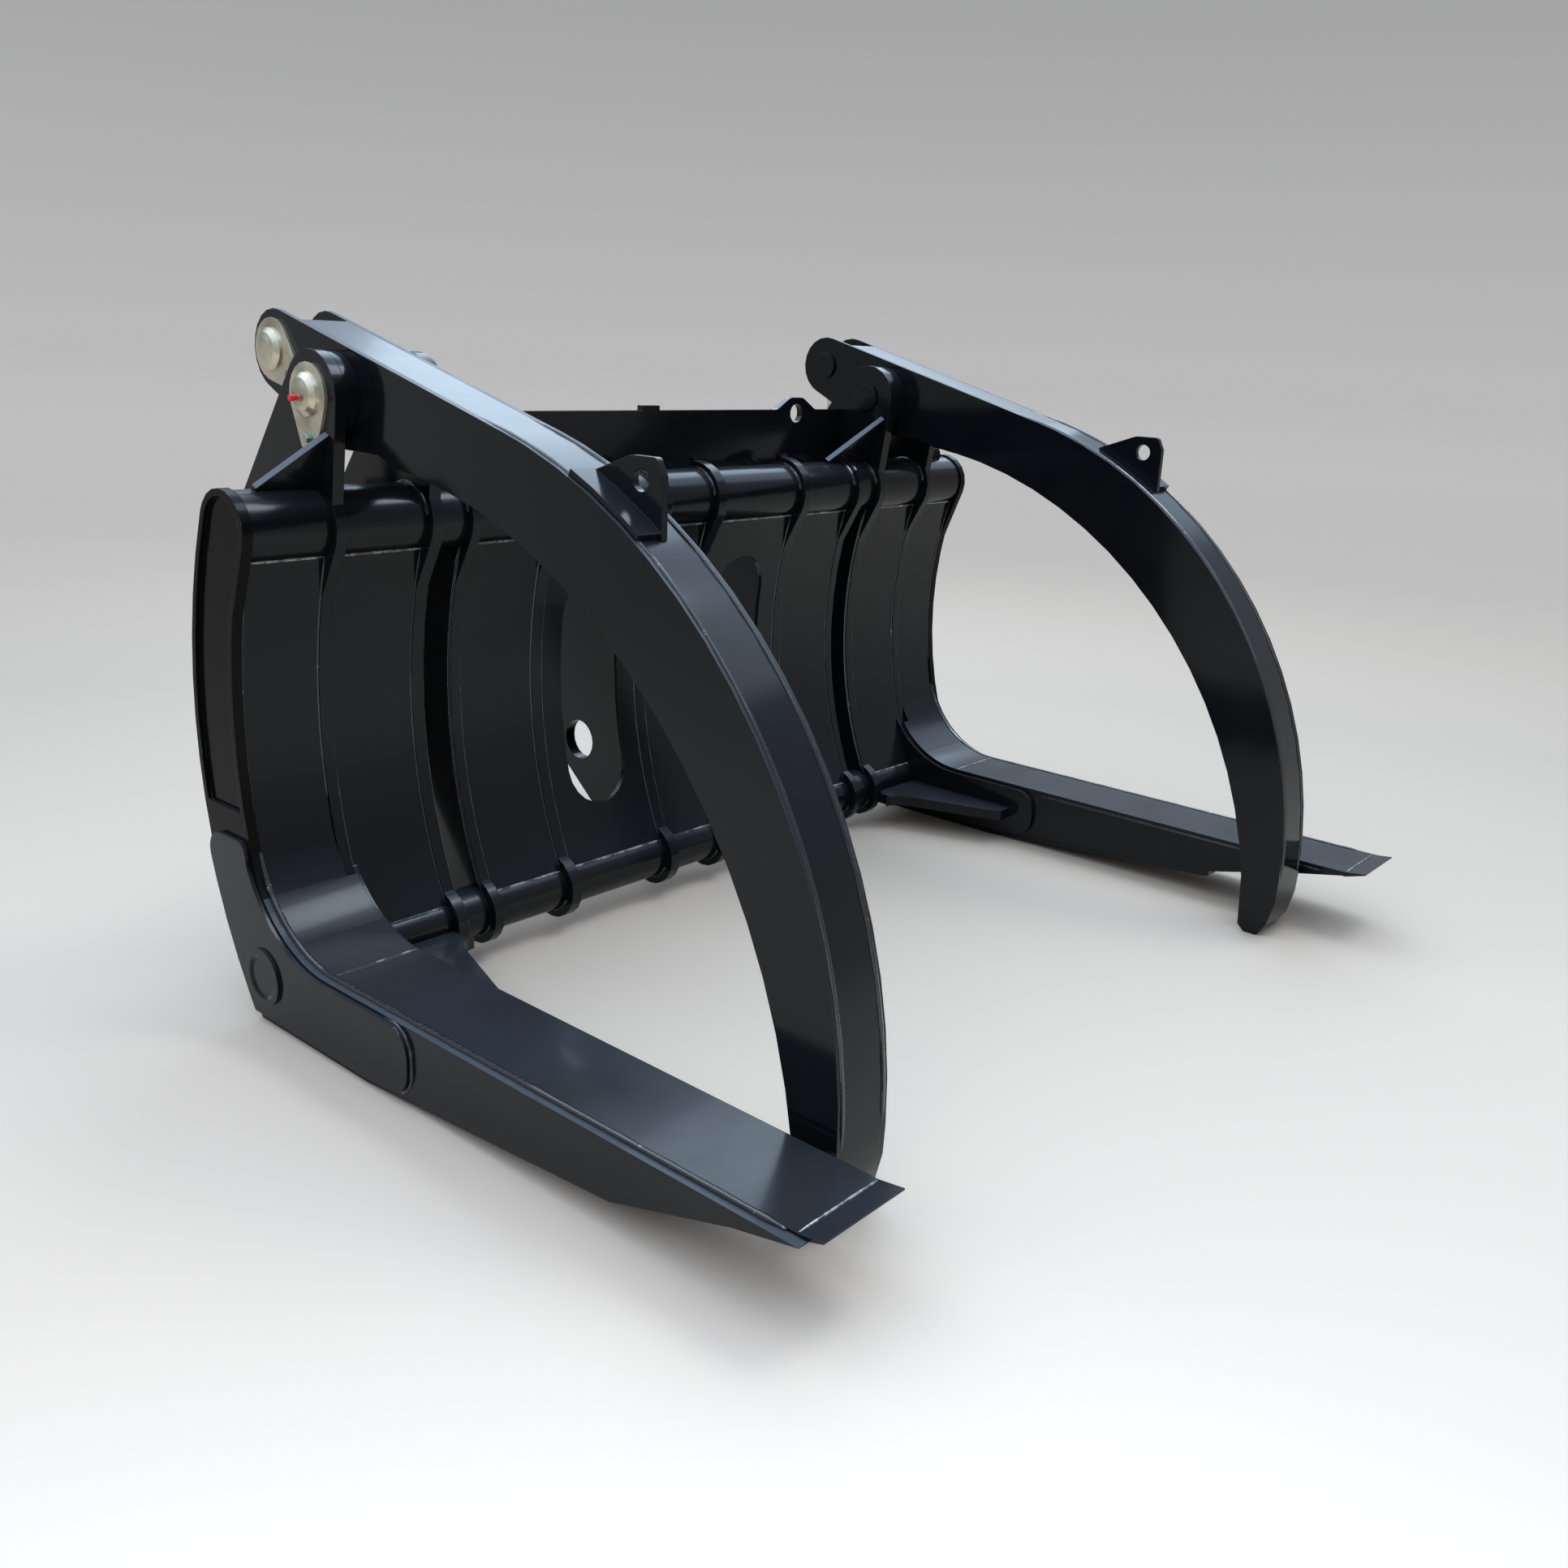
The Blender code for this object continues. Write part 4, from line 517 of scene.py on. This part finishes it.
def pin_trim(label, side):
    """Keeper bolts, and the grease nipple with its cap on the pivot pin."""
    face = EAR_FACE + KEEPER_T + 0.0002
    bm = bmesh.new()
    add_bolt(bm, (PIVOT[0], PIVOT[1] - KEEPER_TAB), face, side)
    finish(label + "_pivot_bolt", bm, BOLT_ZINC, "frame")
    bm = bmesh.new()
    arm_face = ARM_X + ARM_HALF + KEEPER_T + 0.0005
    add_bolt(bm, polar(TAIL_PIN, KEEPER_TAB, -145.0), arm_face, side)
    finish(label + "_tail_bolt", bm, BOLT_ZINC, label + "_arm")
    head = EAR_FACE + KEEPER_T + PIN_HEAD_T
    place = (PIVOT[0] - 0.002, PIVOT[1] - 0.006)
    bm = bmesh.new()
    nipple = [(-0.002, 0.0064), (0.001, 0.0064), (0.002, 0.0040), (0.004, 0.0040)]
    add_turned(bm, [(head + x, r) for x, r in nipple], place, side, 12)
    finish(label + "_pivot_nipple", bm, BOLT_ZINC, "frame")
    bm = bmesh.new()
    cap = [(0.0005, 0.0056), (0.005, 0.0050), (0.017, 0.0068), (0.019, 0.0060)]
    add_turned(bm, [(head + x, r) for x, r in cap], place, side, 16)
    finish(label + "_grease_cap", bm, CAP_RED, "frame")


frame_welds()
tine_welds()
for label, side in SIDES.items():
    arm_welds(label, side)
    pin_trim(label, side)


# Stage, light and camera

def tone_ramp(tree, source, stops):
    ramp = tree.nodes.new("ShaderNodeValToRGB")
    tree.links.new(source, ramp.inputs["Fac"])
    while len(ramp.color_ramp.elements) < len(stops):
        ramp.color_ramp.elements.new(0.5)
    for element, (place, colour) in zip(ramp.color_ramp.elements, stops):
        element.position = place
        element.color = (*colour, 1.0)
    return ramp.outputs["Color"]


CAMERA_PLACE = (-2.5994, -2.0053, 1.42095)

# Floor tones by nearness to the camera's foot: 0 far off, 1 at the near edge. They paint shade and
# light on the floor: a darker band where the lamps light it most, and lighter towards the camera.
FLOOR_TONES = (
    (0.0, (0.422, 0.334, 0.256)), (0.06, (0.470, 0.373, 0.286)), (0.22, (0.416, 0.341, 0.273)),
    (0.42, (0.563, 0.471, 0.384)), (0.70, (0.682, 0.573, 0.472)), (1.0, (0.805, 0.690, 0.575)),
)


def pale_floor():
    n = Nodes("floor_pale")
    away = n.new("ShaderNodeVectorMath", operation="DISTANCE")
    n.put(away, Vector=n.place)
    away.inputs[1].default_value = (*CAMERA_PLACE[:2], 0.0)
    near = n.ramp(n.math("DIVIDE", 1.0, away.outputs["Value"]), 0.0, 0.735)
    tone = tone_ramp(n.tree, near, FLOOR_TONES)
    tone = n.mix(n.math("MULTIPLY", n.noise(0.8, 3.0), 0.03), tone, (0.5, 0.5, 0.5))
    n.put(n.shader, Base_Color=tone, Roughness=0.9)
    bm = bmesh.new()
    bmesh.ops.create_circle(bm, cap_ends=True, segments=96, radius=60.0)
    mesh = bpy.data.meshes.new("floor")
    bm.to_mesh(mesh)
    bm.free()
    mesh.materials.append(n.material)
    floor = bpy.data.objects.new("floor", mesh)
    floor.location.z = -0.0005
    bpy.context.scene.collection.objects.link(floor)


def world_light():
    """A pale backdrop with a wide blue ceiling that ends above the front."""
    world = bpy.data.worlds.new("studio")
    bpy.context.scene.world = world
    world.use_nodes = True
    tree = world.node_tree
    back = tree.nodes["Background"]
    coord = tree.nodes.new("ShaderNodeTexCoord")
    split = tree.nodes.new("ShaderNodeSeparateXYZ")
    tree.links.new(coord.outputs["Generated"], split.inputs[0])
    low = ((0.0, (0.221, 0.221, 0.222)), (0.20, (0.171, 0.171, 0.173)), (0.34, (0.15, 0.17, 0.20)))
    ceiling = tone_ramp(tree, split.outputs["Z"], (
        *low, (0.46, (0.54, 0.66, 0.82)), (0.60, (0.66, 0.80, 1.0)), (1.0, (0.58, 0.71, 0.90)),
    ))
    front = tone_ramp(tree, split.outputs["Z"], (*low, (1.0, (0.22, 0.25, 0.30))))
    lean = tree.nodes.new("ShaderNodeVectorMath")
    lean.operation = "DOT_PRODUCT"
    tree.links.new(coord.outputs["Generated"], lean.inputs[0])
    lean.inputs[1].default_value = (0.0, 0.5, 0.866)
    border = tree.nodes.new("ShaderNodeMapRange")
    tree.links.new(lean.outputs["Value"], border.inputs["Value"])
    border.inputs["From Min"].default_value = 0.30
    border.inputs["From Max"].default_value = 0.36
    mix = tree.nodes.new("ShaderNodeMix")
    mix.data_type = "RGBA"
    tree.links.new(border.outputs["Result"], mix.inputs[0])
    tree.links.new(front, mix.inputs[6])
    tree.links.new(ceiling, mix.inputs[7])
    tree.links.new(mix.outputs[2], back.inputs["Color"])
    back.inputs["Strength"].default_value = 2.2


def soft_light(name, place, aim, size, power, colour):
    data = bpy.data.lights.new(name, "AREA")
    data.shape = "RECTANGLE"
    data.size = size[0]
    data.size_y = size[1]
    data.energy = power
    data.color = colour
    lamp = bpy.data.objects.new(name, data)
    lamp.location = place
    direction = Vector(aim) - Vector(place)
    lamp.rotation_euler = direction.to_track_quat("-Z", "Y").to_euler()
    bpy.context.scene.collection.objects.link(lamp)


def photo_camera():
    """The photograph's viewpoint, fitted to the object's known edges."""
    azimuth = radians(-49.73805976)
    elevation = radians(17.22056254)
    roll = radians(2.62772605)
    back = Vector((sin(azimuth) * cos(elevation), -cos(azimuth) * cos(elevation), sin(elevation)))
    right = Vector((cos(azimuth), sin(azimuth), 0.0))
    up = right.cross(-back)
    across = cos(roll) * right + sin(roll) * up
    down = sin(roll) * right - cos(roll) * up
    data = bpy.data.cameras.new("camera")
    data.lens = 32.549
    data.sensor_width = 36.0
    data.clip_end = 200.0
    camera = bpy.data.objects.new("camera", data)
    turn = Matrix((across, -down, back)).transposed().to_4x4()
    camera.matrix_world = Matrix.Translation(CAMERA_PLACE) @ turn
    bpy.context.scene.collection.objects.link(camera)
    bpy.context.scene.camera = camera


pale_floor()
world_light()
soft_light("key", (-1.5, 2.5, 4.5), (0.0, 0.2, 0.6), (3.0, 3.0), 25.0, (0.92, 0.96, 1.0))
soft_light("sheen", (3.0, 2.7, 4.3), (-0.6, 0.2, 1.0), (4.0, 4.0), 125.0, (0.67, 0.84, 1.0))
soft_light("bend", (2.74, -1.5, 7.02), (-1.1, 0.5, 0.3), (2.4, 2.4), 155.0, (0.80, 0.91, 1.0))
soft_light("fill", (-4.5, -2.5, 3.0), (0.0, 0.0, 0.6), (2.5, 2.5), 25.0, (1.0, 0.98, 0.95))
photo_camera()
bpy.context.scene.view_settings.view_transform = "Standard"
